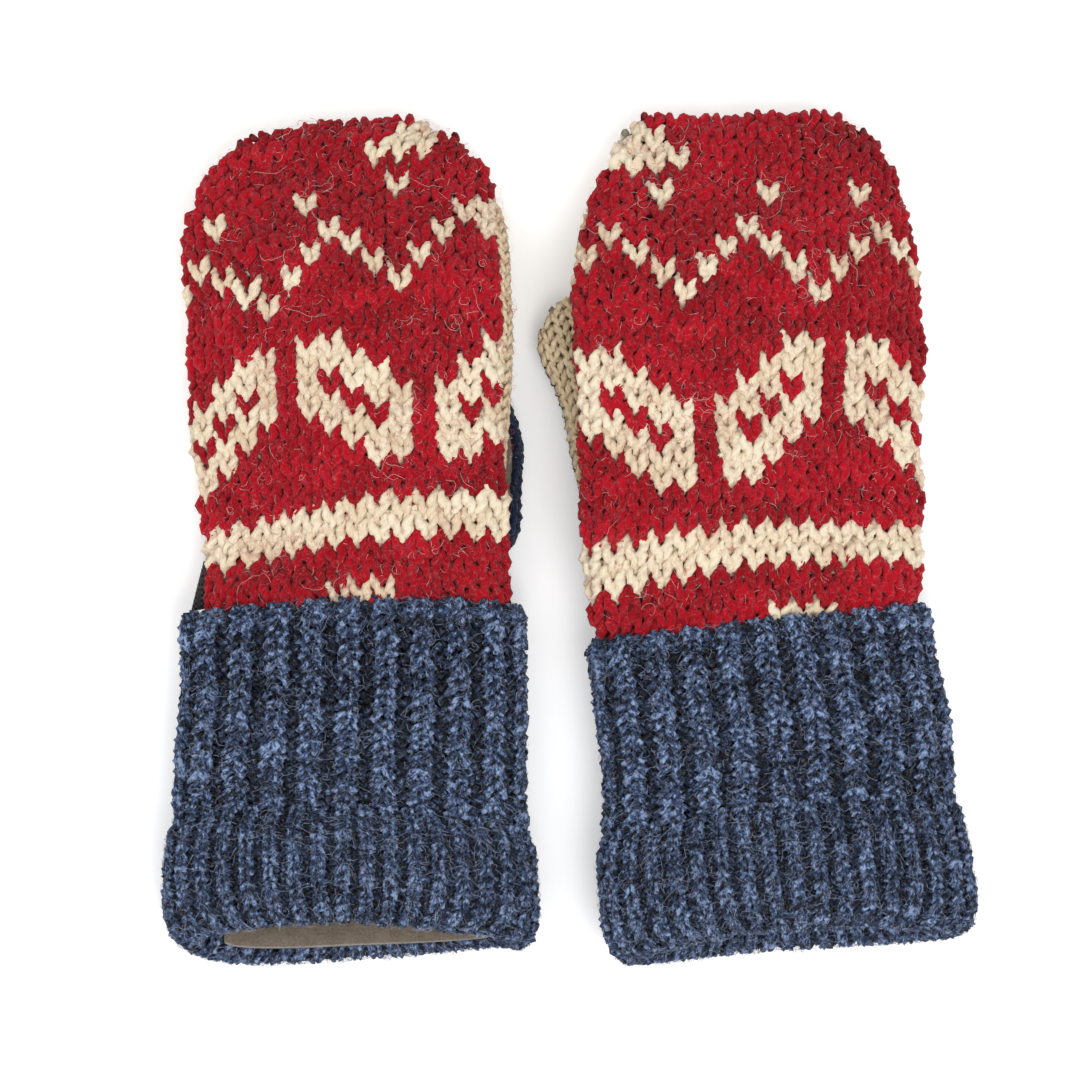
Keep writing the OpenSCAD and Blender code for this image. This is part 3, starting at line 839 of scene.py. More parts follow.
class YarnSweep:
    """The Geometry Nodes tree that sweeps lines of points into yarn."""

    _tree: bpy.types.NodeTree | None = None

    @classmethod
    def tree(cls) -> bpy.types.NodeTree:
        """Builds the tree once: lines to curves, turned, swept with a lobed round, and dressed.

        Returns:
            The tree, with the lines, the sides, the lobe and the wool as its inputs.
        """
        if cls._tree is not None:
            return cls._tree
        board, inp, out = new_group(
            "Yarn sweep", {"Geometry": "NodeSocketGeometry", "Sides": "NodeSocketInt",
                           "Lobe": "NodeSocketFloat", "Wool": "NodeSocketMaterial"},
            {"Geometry": "NodeSocketGeometry"}, "GeometryNodeTree")

        def stored(name: str) -> object:
            """Socket of a value stored on the points."""
            return board.add("GeometryNodeInputNamedAttribute", {"Name": name},
                             data_type="FLOAT").outputs[0]

        lines = board.add("GeometryNodeMeshToCurve", {0: inp.outputs["Geometry"]})
        turned = board.add("GeometryNodeSetCurveTilt", {
            "Curve": lines.outputs[0], "Tilt": stored("turn")})
        ring = board.add("GeometryNodeCurvePrimitiveCircle", {
            "Resolution": inp.outputs["Sides"], "Radius": 1.0})
        place = board.add("GeometryNodeInputPosition").outputs[0]
        split = board.add("ShaderNodeSeparateXYZ", {0: place})
        squares = board.math("SUBTRACT", board.math("MULTIPLY", split.outputs[0], split.outputs[0]),
                             board.math("MULTIPLY", split.outputs[1], split.outputs[1]))
        stretch = board.math("MULTIPLY", squares, inp.outputs["Lobe"])
        lobed = board.add("GeometryNodeSetPosition", {
            "Geometry": ring.outputs[0],
            "Offset": board.add("ShaderNodeVectorMath", {0: place, "Scale": stretch},
                                operation="SCALE").outputs[0]})
        marked = board.add("GeometryNodeStoreNamedAttribute", {
            "Geometry": lobed.outputs[0], "Name": "round", "Value": place},
            data_type="FLOAT_VECTOR", domain="POINT")
        swept = board.add("GeometryNodeCurveToMesh", {
            "Curve": turned.outputs[0], "Profile Curve": marked.outputs[0],
            "Scale": stored("thickness"), "Fill Caps": True})
        soft = board.add("GeometryNodeSetShadeSmooth", {0: swept.outputs[0]})
        real = board.add("GeometryNodeRealizeInstances", {0: soft.outputs[0]})
        dressed = board.add("GeometryNodeSetMaterial", {
            "Geometry": real.outputs[0], "Material": inp.outputs["Wool"]})
        board.tree.links.new(dressed.outputs[0], out.inputs["Geometry"])
        cls._tree = board.tree
        return cls._tree


@dataclass
class Strands:
    """Lines of yarn with what is stored at each of their points."""

    shape: MittenShape
    points: list[Array] = field(default_factory=list)
    thickness: list[Array] = field(default_factory=list)
    tint: list[Array] = field(default_factory=list)
    shade: list[Array] = field(default_factory=list)

    def add(self, points: Array, thickness: Array, tint: Array | float = 0.0,
            shade: Array | float = 0.0) -> None:
        """Adds one line, in the mitten's own frame, with its radius and its colour.

        Args:
            points: Points along the line.
            thickness: Radius at each point, in mm.
            tint: 1 where the yarn has its second colour.
            shade: How much lighter it is than its finish: a random tone, and on the cuff's rib also
                painted shade and a painted highlight.
        """
        if len(points) < 3:
            return
        n = len(points)
        self.points.append(points)
        self.thickness.append(np.broadcast_to(np.asarray(thickness, float), (n,)))
        self.tint.append(np.broadcast_to(np.asarray(tint, float), (n,)))
        self.shade.append(np.broadcast_to(np.asarray(shade, float), (n,)))

    def sweep(self, name: str, finish: Finish, sides: int = 8, lobe: float = 0.2,
              twist: float = 0.7) -> bpy.types.Object:
        """Makes the yarn.

        Args:
            name: The piece's name.
            finish: What it is spun from.
            sides: Faces round the yarn.
            lobe: How far its two plies stand out.
            twist: Turn of the plies, in radians for each mm.

        Returns:
            The plain mesh object.
        """
        every = np.concatenate(self.points)
        thick = np.concatenate(self.thickness)
        every[:, 2] = np.maximum(every[:, 2], thick * (1 + lobe) + 0.05)
        mesh = bpy.data.meshes.new(name)
        edges, start, along = [], 0, []
        for number, line in enumerate(self.points):
            n = len(line)
            index = np.arange(start, start + n - 1)
            edges.append(np.stack([index, index + 1], 1))
            run = np.concatenate([[0], np.cumsum(np.linalg.norm(np.diff(line, axis=0), axis=1))])
            along.append(run + 37.7 * number)
            start += n
        mesh.from_pydata(self.shape.to_row(every).tolist(), np.concatenate(edges).tolist(), [])
        length = np.concatenate(along)
        for title, values in (("thickness", thick * MM), ("turn", length * twist),
                              ("along", length), ("tint", np.concatenate(self.tint)),
                              ("shade", np.concatenate(self.shade))):
            store = mesh.attributes.new(title, "FLOAT", "POINT")
            store.data.foreach_set("value", values.astype(np.float32))
        obj = bpy.data.objects.new(name, mesh)
        bpy.context.scene.collection.objects.link(obj)
        tree = YarnSweep.tree()
        modifier = obj.modifiers.new("yarn", "NODES")
        modifier.node_group = tree
        given = {"Sides": sides, "Lobe": lobe, "Wool": finish.material()}
        for item in tree.interface.items_tree:
            if item.in_out == "INPUT" and item.name in given:
                modifier[item.identifier] = given[item.name]
        result = bpy.data.meshes.new_from_object(
            obj.evaluated_get(bpy.context.evaluated_depsgraph_get()))
        obj.modifiers.remove(modifier)
        obj.data = result
        result.name = name
        bpy.data.meshes.remove(mesh)
        return obj


@dataclass(frozen=True)
class StitchSizes:
    """One stitch of a knit, in millimetres."""

    width: float
    height: float
    radius: float
    depth: float
    loop: float = 1.5
    swing: float = 0.3
    lean: float = 0.0
    points: int = 20
    sides: int = 8
    uneven: float = 1.0
    flip: float = 1.0


HAND_STITCH = StitchSizes(7.55, 6.6, 1.85, 1.5, loop=1.95, swing=0.25, points=22, sides=10,
                          lean=-0.13)
PALM_STITCH = StitchSizes(5.2, 4.0, 1.12, 0.7, points=12, sides=6, uneven=0.35)
THUMB_STITCH = StitchSizes(5.6, 4.0, 1.2, 0.75, points=12, sides=6, uneven=0.4)
CUFF_STITCH = StitchSizes(12.0, 3.8, 1.5, 1.0, loop=1.7, flip=-1.0, points=20, sides=7,
                          uneven=1.3)
BAND_STITCH = StitchSizes(7.3, 3.3, 1.12, 0.7, loop=1.7, flip=-1.0, points=14, sides=6,
                          uneven=1.0)


class Waves:
    """Gentle unevenness of a hand-made cloth, the same at every run."""

    def __init__(self, seed: int, size: float, reach: float) -> None:
        """Takes a few waves of about the given length, up to reach high.

        Args:
            seed: Seed of the waves.
            size: Their length.
            reach: Their height.
        """
        rng = np.random.default_rng(seed)
        self.k = rng.normal(0, TAU / size, (7, 2))
        self.phase = rng.uniform(0, TAU, 7)
        self.reach = reach / 2.2

    def at(self, a: Array, v: Array) -> Array:
        """Height of the waves at places on the cloth."""
        total = sum(np.sin(k[0] * a + k[1] * v + p) for k, p in zip(self.k, self.phase))
        return total * self.reach


@dataclass(frozen=True)
class Pull:
    """A place where the cloth is drawn out of line, in mm on the cloth."""

    place: tuple[float, float]
    reach: tuple[float, float]
    shift: tuple[float, float]

    def move(self, a: Array, v: Array) -> tuple[Array, Array]:
        """Moves places on the cloth that are within its reach.

        Args:
            a: Distances across.
            v: Distances up.

        Returns:
            The moved distances.
        """
        share = np.exp(-((a - self.place[0]) / self.reach[0]) ** 2
                       - ((v - self.place[1]) / self.reach[1]) ** 2)
        return a + self.shift[0] * share, v + self.shift[1] * share


@dataclass
class FlatKnit:
    """Plain knit on a skin, row by row.

    low and high limit it across at each distance up, and floor and ceiling limit it up at each
    distance across.
    """

    skin: Skin
    stitch: StitchSizes
    row_up: Callable[[int, Array], Array]
    rows: range
    columns: range
    middle: float
    low: Limit
    high: Limit
    floor: Limit
    ceiling: Limit
    tint: Callable[[Array, int], Array] = lambda i, j: np.zeros(len(i))
    out: Callable[[Array, Array], Array] = lambda a, v: np.zeros(len(a))
    pulls: tuple[Pull, ...] = ()
    seed: int = 1
    waves: Waves | None = None

    def lay(self, strands: Strands, rows: range | None = None) -> None:
        """Adds the rows of yarn to the strands, or only the given ones of them.

        Args:
            strands: Where the yarn is kept.
            rows: The rows to add, or None for all.
        """
        st = self.stitch
        count = len(self.columns)
        share = np.arange(st.points) / st.points
        turn = np.concatenate([[k + share] for k in range(count)]).ravel()
        start = self.columns[0]
        for j in self.rows:
            rng = np.random.default_rng(self.seed * 1000 + 97 * (j + 200))
            jit = rng.normal(0, 1, (5, count + 2)) * st.uneven
            if rows is not None and j not in rows:
                continue
            local = np.stack([np.interp(turn, np.arange(count + 2) - 0.5, row) for row in jit])
            phase = 2 * TAU * turn
            loop = st.loop * st.height / 2
            dv = -loop * np.cos(TAU * turn) * st.flip * (1 + 0.05 * local[0])
            a = (st.width * (turn + start - 0.5 - self.middle + st.swing * np.sin(phase))
                 + st.lean * dv + 0.3 * local[1])
            v = self.row_up(j, a) + dv + 0.3 * local[2]
            for pull in self.pulls:
                a, v = pull.move(a, v)
            n = self.out(a, v) - st.depth * np.cos(phase) + 0.2 * local[3]
            if self.waves is not None:
                n = n + self.waves.at(a, v)
            over = np.maximum(a - self.high(v), self.low(v) - a)
            above = np.maximum(v - self.ceiling(a), self.floor(a) - v)
            past = np.maximum(over, above)
            a = np.clip(a, self.low(v) - 0.9, self.high(v) + 0.9)
            v = np.clip(v, self.floor(a) - 0.9, self.ceiling(a) + 0.9)
            n = n - np.clip(past + 0.7, 0, 2.4) * 1.1
            tint = self.tint(np.floor(turn).astype(int) + start, j)
            thick = st.radius * (0.88 - 0.12 * np.cos(phase)) * (1 + 0.06 * local[4])
            keep = past < 2.0
            for run in np.split(np.arange(len(turn)), np.flatnonzero(np.diff(keep)) + 1):
                if keep[run[0]] and len(run) > st.points // 2:
                    strands.add(self.skin.at(a[run], v[run], n[run]), thick[run], tint[run],
                                0.5 * local[4][run])


@dataclass
class RibKnit:
    """One-and-one rib round a cuff: each column of plain stitches has a recessed one beside it."""

    skin: RingSkin
    stitch: StitchSizes
    rows: int
    seed: int = 1
    plain: float = 0.62
    relief: float = 0.9
    sink: float = 1.0

    def lay(self, strands: Strands) -> None:
        """Adds the rows of yarn to the strands.

        Args:
            strands: Where the yarn is kept.
        """
        st = self.stitch
        ribs = round(self.skin.girth / st.width)
        turn = np.arange(ribs * st.points + 1) / st.points
        cell, part = np.floor(turn), np.mod(turn, 1.0)
        front = part < self.plain
        u = np.where(front, part / self.plain, (part - self.plain) / (1 - self.plain))
        wide = np.where(front, self.plain, 1 - self.plain)
        base = np.where(front, 0.0, self.plain)
        step = self.skin.ups[-1] / self.rows
        side = np.where(front, -1.0, 1.0)
        for j in range(self.rows):
            rng = np.random.default_rng(self.seed * 1000 + j)
            jit = rng.normal(0, 1, (5, ribs + 1)) * st.uneven
            jit[:, -1] = jit[:, 0]
            local = np.stack([np.interp(turn, np.arange(ribs + 1), row) for row in jit])
            share = (cell + base + wide * (u + st.swing * np.sin(2 * TAU * u)))
            share = (share + 0.03 * local[1]) / ribs
            loop = st.loop * step / 2
            v = (j + 0.5) * step - st.flip * loop * np.cos(TAU * u) + 0.3 * local[2]
            n = (side * st.depth * np.cos(2 * TAU * u)
                 - np.where(front, 0.0, 1.5 * st.depth + self.sink * np.sin(math.pi * u) ** 2)
                 + np.where(front, self.relief * np.sin(math.pi * u) ** 2, 0.0) + 0.25 * local[3])
            thick = st.radius * np.where(front, 0.9 - 0.1 * np.cos(2 * TAU * u), 0.95)
            thick = thick * (1 + 0.09 * local[4])
            v = np.clip(v, 0.2, self.skin.ups[-1] - 0.2)
            # The stored shade paints the recessed purl stitches darker, as painted shade in the rib's
            # valleys, and the plain stitches lighter towards their crests, as a painted highlight,
            # over a random tone.
            strands.add(self.skin.at(share, v, n - st.radius), thick, 0.0,
                        0.2 * local[4] + np.where(front, 0.3 * np.sin(math.pi * u), -0.45))


# ---- cloth without yarn ----


@dataclass
class Shell:
    """A thin closed sheet between two grids of points, in the mitten's own frame."""

    outer: Array
    inner: Array
    closed: bool = False

    def build(self, name: str, shape: MittenShape, finish: Finish) -> bpy.types.Object:
        """Makes the sheet.

        Args:
            name: The piece's name.
            shape: The mitten it belongs to.
            finish: What it is made of.

        Returns:
            The plain mesh object, with its faces outwards.
        """
        rows, cols = self.outer.shape[:2]
        n = rows * cols
        points = np.concatenate([self.outer.reshape(-1, 3), self.inner.reshape(-1, 3)])
        points[:, 2] = np.maximum(points[:, 2], 0.0)
        faces: list[tuple[int, ...]] = []
        last = cols if self.closed else cols - 1
        for i in range(rows - 1):
            for j in range(last):
                k, a, b = (j + 1) % cols, i * cols, (i + 1) * cols
                faces.append((a + j, a + k, b + k, b + j))
                faces.append((n + a + j, n + b + j, n + b + k, n + a + k))
        top = (rows - 1) * cols
        for j in range(last):
            k = (j + 1) % cols
            faces.append((k, j, n + j, n + k))
            faces.append((top + j, top + k, n + top + k, n + top + j))
        if not self.closed:
            for i in range(rows - 1):
                a, b, e = i * cols, (i + 1) * cols, cols - 1
                faces.append((a, b, n + b, n + a))
                faces.append((b + e, a + e, n + a + e, n + b + e))
        placed = shape.to_row(points)
        mesh = bpy.data.meshes.new(name)
        mesh.from_pydata(placed.tolist(), [], faces)
        if self._volume(placed, faces) < 0:
            mesh.flip_normals()
        mesh.polygons.foreach_set("use_smooth", np.ones(len(faces), bool))
        mesh.materials.append(finish.material())
        mesh.update()
        obj = bpy.data.objects.new(name, mesh)
        bpy.context.scene.collection.objects.link(obj)
        return obj

    @staticmethod
    def _volume(points: Array, faces: list[tuple[int, ...]]) -> float:
        """Signed volume, which is below nothing where the faces point inwards.

        Args:
            points: The sheet's points.
            faces: Its four-sided faces.

        Returns:
            The volume, times six.
        """
        f = np.array(faces)
        total = 0.0
        for b, c in ((1, 2), (2, 3)):
            total += np.einsum("ij,ij->i", points[f[:, 0]],
                               np.cross(points[f[:, b]], points[f[:, c]])).sum()
        return total


@dataclass
class LooseHairs:
    """Fine stray hairs that lie and curl on a knit, from one seed."""

    seed: int
    count: int
    length: tuple[float, float]
    radius: float
    pale: float
    steps: int = 5
    curl: float = 0.5
    rise: tuple[float, float] = (0.6, 2.2)

    def lay(self, strands: Strands, at: Callable[[Array, Array, Array], Array],
            spot: Callable[[np.random.Generator], tuple[float, float]], scale: float = 1.0) -> None:
        """Adds the hairs to the strands.

        Args:
            strands: Where they are kept.
            at: The point of the cloth across, up and out.
            spot: Picks a place on the cloth.
            scale: Units across for each mm of cloth.
        """
        rng = np.random.default_rng(self.seed)
        for _ in range(self.count):
            a, v = spot(rng)
            long = rng.uniform(*self.length)
            heading = rng.uniform(0, TAU)
            bends = rng.normal(0, self.curl) + rng.normal(0, self.curl * 0.6, self.steps)
            angle = heading + np.cumsum(bends)
            step = long / self.steps
            da = np.concatenate([[0], np.cumsum(np.cos(angle) * step)]) * scale
            dv = np.concatenate([[0], np.cumsum(np.sin(angle) * step)])
            low, high = self.rise
            peak = rng.uniform(low, high)
            t = np.linspace(0, 1, self.steps + 1)
            out = low + (peak - low) * np.sin(math.pi * np.clip(t * rng.uniform(0.6, 1.6), 0, 1))
            out = out + rng.normal(0, 0.15, self.steps + 1)
            tint = 1.0 if rng.random() < self.pale else 0.0
            strands.add(at(a + da, v + dv, out), self.radius * (1 - 0.4 * t), tint, 0.2)


# ---- the colour pattern of the backs ----


class Chart:
    """The cream pattern of a back, by column from the left and by row.

    In the leaf, X is a cream stitch, and o and the dots are red ones, inside it and round it.
    """

    LEAF = ("...XX", "..XXX", ".XXoX", "XXoXX", "XoXX.", "XXX..", "XX...")
    LEAF_TOP = -3
    LEAF_COLUMNS = (0, 6, 12)
    STRIPE = (-12, -13)
    DOT_ROW = 5
    PATCH = {
        Hand.LEFT: {(9, 7), (10, 7), (11, 7), (10, 8), (11, 8), (12, 8), (14, 3)},
        Hand.RIGHT: {(1, 7), (2, 7), (3, 7), (4, 7), (1, 8), (2, 8), (3, 8), (2, 9)},
    }
    DOTS = {Hand.LEFT: (2, 6, 10), Hand.RIGHT: (3, 8, 12)}
    LOW = {Hand.LEFT: {(7, -16), (8, -16), (9, -16), (15, -16)},
           Hand.RIGHT: {(8, -16), (9, -16), (10, -16)}}
    RISING = {Hand.LEFT: (True, False, True), Hand.RIGHT: (False, True, False)}

    def __init__(self, hand: Hand) -> None:
        """Takes the chart of one mitten."""
        self.hand = hand

    def cream(self, column: int, row: int) -> bool:
        """Whether the stitch is cream.

        Args:
            column: Its column, from the left.
            row: Its row.

        Returns:
            True for cream.
        """
        spot = (column, row)
        if spot in self.PATCH[self.hand] or spot in self.LOW[self.hand]:
            return True
        if row in self.STRIPE:
            return True
        if row == self.DOT_ROW and column in self.DOTS[self.hand]:
            return True
        from_trough = (column - 4) % 6
        if row == min(from_trough, 6 - from_trough):
            return True
        line = self.LEAF_TOP - row
        if 0 <= line < len(self.LEAF):
            for start, rising in zip(self.LEAF_COLUMNS, self.RISING[self.hand]):
                k = column - start
                if 0 <= k < 5:
                    return self.LEAF[line][k if rising else 4 - k] == "X"
        return False


@dataclass(frozen=True)
class RowLevels:
    """Where the rows of a back lie: the height of some rows, and how they sag to the sides."""

    rows: tuple[float, ...]
    heights: tuple[float, ...]
    outer_drop: tuple[float, ...]
    thumb_drop: tuple[float, ...]
    centre: float
    reach: float

    def up(self, row: int, across: Array) -> Array:
        """Height of a row at distances across.

        Args:
            row: The row.
            across: Distances from the centre line.

        Returns:
            The heights.
        """
        height = np.interp(row, self.rows, self.heights)
        outer = np.interp(row, self.rows, self.outer_drop)
        thumb = np.interp(row, self.rows, self.thumb_drop)
        off = across - self.centre

        def ramp(x: Array) -> Array:
            """Straight slope with a soft start, 1 at the reach."""
            return 6 * np.log1p(np.exp((x - 4) / 6)) / self.reach

        return height - outer * ramp(-off) - thumb * ramp(off)


LEVELS = {
    Hand.LEFT: RowLevels((-20, -12.5, -6, 0, 5, 10), (100.5, 151.3, 191.6, 229, 264.0, 298),
                         (13, 13, 12, 15.5, 19, 14), (0, 0, 0, -12, -18, -14), 14.0, 66.0),
    Hand.RIGHT: RowLevels((-20, -12.5, -6, 0, 5, 10), (84, 136.3, 181.5, 220.3, 256.0, 291),
                          (3, 3, 1, 0, 0, 0), (8, 7.5, 6.5, 3.5, 1.5, 0), 0.0, 56.0),
}
PULLS = {
    Hand.LEFT: (Pull((-28, 232), (15, 15), (4.8, 0)), Pull((17, 231), (6, 8), (0.5, -2.0))),
    Hand.RIGHT: (Pull((26, 232), (17, 17), (-3.4, 0)), Pull((26, 254), (9, 9), (-2.0, 2.5)),
                 Pull((-22, 186), (34, 26), (2.3, 0)), Pull((-22, 222), (7, 7), (-1.5, -2.0))),
}
MIDDLE_COLUMN = {Hand.LEFT: 7.73, Hand.RIGHT: 6.93}
LAST_COLUMN = 14


# ---- sub-assemblies ----


def keep_piece(obj: bpy.types.Object, body: str, nodes: Sequence[str] = ()) -> None:
    """Rides a finished piece on its body, in place of the CAD nodes it stands for.

    Args:
        obj: The piece.
        body: The body it moves with.
        nodes: The nodes it stands for.
    """
    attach(obj, body)
    if nodes:
        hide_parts(*nodes)
    log.info("%s: %d faces on %s", obj.name, len(obj.data.polygons), body)


def hand_skin(shape: MittenShape, centre: float, reach: float) -> Skin:
    """The hand laid out flat, with close rows at its tip.

    Args:
        shape: The mitten.
        centre: The turn of the centre line: 0 on the back and 2 on the palm.
        reach: How far the cloth is laid out to each side.

    Returns:
        The skin.
    """
    near_tip = shape.top_y - 12
    ups = np.concatenate([np.arange(92, near_tip, 2.0), np.arange(near_tip, shape.top_y, 0.5),
                          [shape.top_y]])
    return Skin(shape.knit_section, centre, ups, reach)


def seam_inset(inset: float, up: Array) -> Array:
    """How far the seam lies in from the thumb side, which fades towards the tip and the cuff."""
    return inset * smooth(120, 190, up) * (1 - smooth(252, 272, up))


@dataclass
class BackPanel:
    """The patterned back: rows of thick red and cream yarn over a backing."""

    shape: MittenShape
    seam_in: float = 0.0
    backing_in: float = 1.7
    backing_t: float = 0.9
    first_row: int = -20
    last_row: int = 10
    split_row: int = -4

    def build(self) -> None:
        """Knits the back in two pieces over one backing, and strews its loose hairs."""
        hand = self.shape.sizes.hand
        side = hand.value
        skin = hand_skin(self.shape, 0.0, 74.0)
        chart = Chart(hand)
        levels = LEVELS[hand]

        def tint(columns: Array, row: int) -> Array:
            """1 where the stitch is cream."""
            seen = columns if hand is Hand.LEFT else LAST_COLUMN - columns
            lookup = {int(c): float(chart.cream(int(c), row)) for c in np.unique(seen)}
            return np.array([lookup[int(c)] for c in seen])

        top = skin.ups[-1]
        rim = self.shape.sizes.cuff_h
        lean = HAND_STITCH.lean * (1 if hand is Hand.LEFT else -1)
        stitch = StitchSizes(**{**HAND_STITCH.__dict__, "lean": lean})
        knit = FlatKnit(
            skin, stitch, lambda j, a: levels.up(j, a), range(self.first_row, self.last_row + 1),
            range(-2, 18), MIDDLE_COLUMN[hand],
            low=lambda v: skin.edge(0, v) + 0.4,
            high=lambda v: skin.edge(1, v) - 0.4 - seam_inset(self.seam_in, v),
            floor=lambda a: np.full(np.shape(a), rim - 11.0),
            ceiling=lambda a: np.full(np.shape(a), top - 0.6),
            tint=tint, out=lambda a, v: 0.2 - 2.6 * (1 - smooth(rim - 5, rim + 4, v)),
            pulls=PULLS[hand], seed=3 if hand is Hand.LEFT else 4,
            waves=Waves(11 if hand is Hand.LEFT else 12, 34.0, 0.7))
        for name, rows in (("back_knit_low", range(self.first_row, self.split_row)),
                           ("back_knit_high", range(self.split_row, self.last_row + 1))):
            strands = Strands(self.shape)
            knit.lay(strands, rows)
            piece = strands.sweep(f"{side}_{name}", Finish.BACK, stitch.sides, 0.24, 0.72)
            keep_piece(piece, self.shape.body)
        hairs = Strands(self.shape)

        def spot(rng: np.random.Generator) -> tuple[float, float]:
            """A place on the back that shows."""
            v = rng.uniform(118, top - 3)
            reach = float(skin.edge(1, np.array(v)))
            return rng.uniform(-1, 1) * (reach - 2), v

        LooseHairs(21, 260, (6, 15), 0.055, 0.6, steps=9, curl=0.55,
                   rise=(2.4, 3.4)).lay(hairs, skin.at, spot)
        LooseHairs(22, 3600, (1.6, 4.5), 0.055, 0.14, steps=3, curl=0.4,
                   rise=(2.3, 3.5)).lay(hairs, skin.at, spot)
        fuzz = hairs.sweep(f"{side}_back_loose_hairs", Finish.FUZZ_RED, 3, 0.0, 0.0)
        keep_piece(fuzz, self.shape.body)
        backing = self.backing(skin)
        keep_piece(backing, self.shape.body, [f"{side}_back_panel"])

    def backing(self, skin: Skin) -> bpy.types.Object:
        """The cloth between the stitches, a thin sheet just under the yarn, in a red darker than the
        wool: painted shade in the gaps.

        Args:
            skin: The back laid out flat.

        Returns:
            The sheet.
        """
        ups = np.concatenate([np.arange(98, skin.ups[-1] - 10, 4.0),
                              np.linspace(skin.ups[-1] - 10, skin.ups[-1] - 1.2, 8)])
        share = np.sin(np.linspace(-1, 1, 45) * math.pi / 2)
        low, high = skin.edge(0, ups) + 0.5, skin.edge(1, ups) - 0.5
        across = (low + high)[:, None] / 2 + (high - low)[:, None] / 2 * share[None, :]
        rise = ups[:, None] + 0 * across
        faces = [skin.at(across, rise, np.full(across.shape, -depth))
                 for depth in (self.backing_in, self.backing_in + self.backing_t)]
        return Shell(*faces).build(f"{self.shape.sizes.hand.value}_back_backing", self.shape,
                                   Finish.BACKING_RED)


@dataclass
class PalmPanels:
    """The plain palm: finer cream knit over the fingers, and navy knit below the thumb."""

    shape: MittenShape
    seam_in: float = 0.0
    under: float = -1.9
    swell: float = 2.4

    def build(self) -> None:
        """Knits both panels, each over its backing."""
        crotch = self.shape.sizes.crotch_y
        side = self.shape.sizes.hand.value
        skin = hand_skin(self.shape, 2.0, 80.0)
        top = skin.ups[-1]
        seam = skin.up_of(crotch)

        def low(v: Array) -> Array:
            """Edge on the thumb side, which may reach over onto the back."""
            return skin.edge(0, v) + 0.3 - seam_inset(self.seam_in, v)

        def high(v: Array) -> Array:
            """Edge on the outer side."""
            return skin.edge(1, v) - 0.3

        def socket(a: Array) -> Array:
            """Top of the lower panel: the palm seam, lower round the thumb's root."""
            off = a + self.shape.sizes.thumb_x - 1.0
            dip = np.sqrt(np.maximum(0, SOCKET_RADIUS ** 2 - off ** 2))
            return seam - np.minimum(dip, 40.0)

        plans = (
            ("upper_palm", Finish.PALM, Finish.BACKING_CREAM, "cream_wool",
             lambda a: np.full(np.shape(a), seam + 0.2), lambda a: np.full(np.shape(a), top - 0.5),
             seam, (0.125, 0.145), 0.0165),
            ("lower_palm", Finish.LOWER, Finish.BACKING_NAVY, "navy_wool",
             lambda a: np.full(np.shape(a), 98.0), socket, 100.0, (0.12, 0.056), 0.0056),
        )
        st = PALM_STITCH
        for name, wool, backing_finish, slot, floor, ceiling, start, flat, area in plans:
            count = int((ceiling(np.array(70.0)) - start) / st.height) + 1
            half = int(64 / st.width)
            knit = FlatKnit(skin, st, lambda j, a: start + (j + 0.6) * st.height + 0 * a,
                            range(0, count), range(-half - 1, half + 1), -0.5, low, high, floor,
                            ceiling, out=lambda a, v: self.under + (
                                self.swell * (1 - smooth(3, 16, a - low(v)))
                                * smooth(150, 205, v) * (1 - smooth(250, 268, v))), seed=6)
            strands = Strands(self.shape)
            knit.lay(strands)
            yarn = strands.sweep(f"{side}_{name}_knit", wool, st.sides, 0.2, 1.0)
            keep_piece(yarn, self.shape.body)
            backing = self.backing(skin, f"{side}_{name}_backing", low, high, floor, ceiling,
                                   backing_finish)
            keep_piece(backing, self.shape.body, [f"{side}_{name}_panel"])

    def backing(self, skin: Skin, name: str, low: Limit, high: Limit, floor: Limit,
                ceiling: Limit, finish: Finish) -> bpy.types.Object:
        """A thin sheet just inside the yarn, cut to the same edges, in a finish darker than the wool:
        painted shade in the gaps.

        Args:
            skin: The palm laid out flat.
            name: The piece's name.
            low: Edge on the thumb side.
            high: Edge on the outer side.
            floor: Lower edge.
            ceiling: Upper edge.
            finish: What it is made of.

        Returns:
            The sheet.
        """
        share = np.sin(np.linspace(-1, 1, 45) * math.pi / 2)
        rise = np.linspace(0, 1, 40)[:, None]
        across = np.zeros((len(rise), len(share)))
        for _ in range(4):
            v = floor(across) + (ceiling(across) - 0.8 - floor(across)) * rise
            lo, hi = low(v) + 0.5, high(v) - 0.5
            across = (lo + hi) / 2 + (hi - lo) / 2 * share[None, :]
        inner = self.under - 1.6
        faces = [skin.at(across, v, np.full(across.shape, inner - extra)) for extra in (0, 0.8)]
        return Shell(*faces).build(name, self.shape, finish)


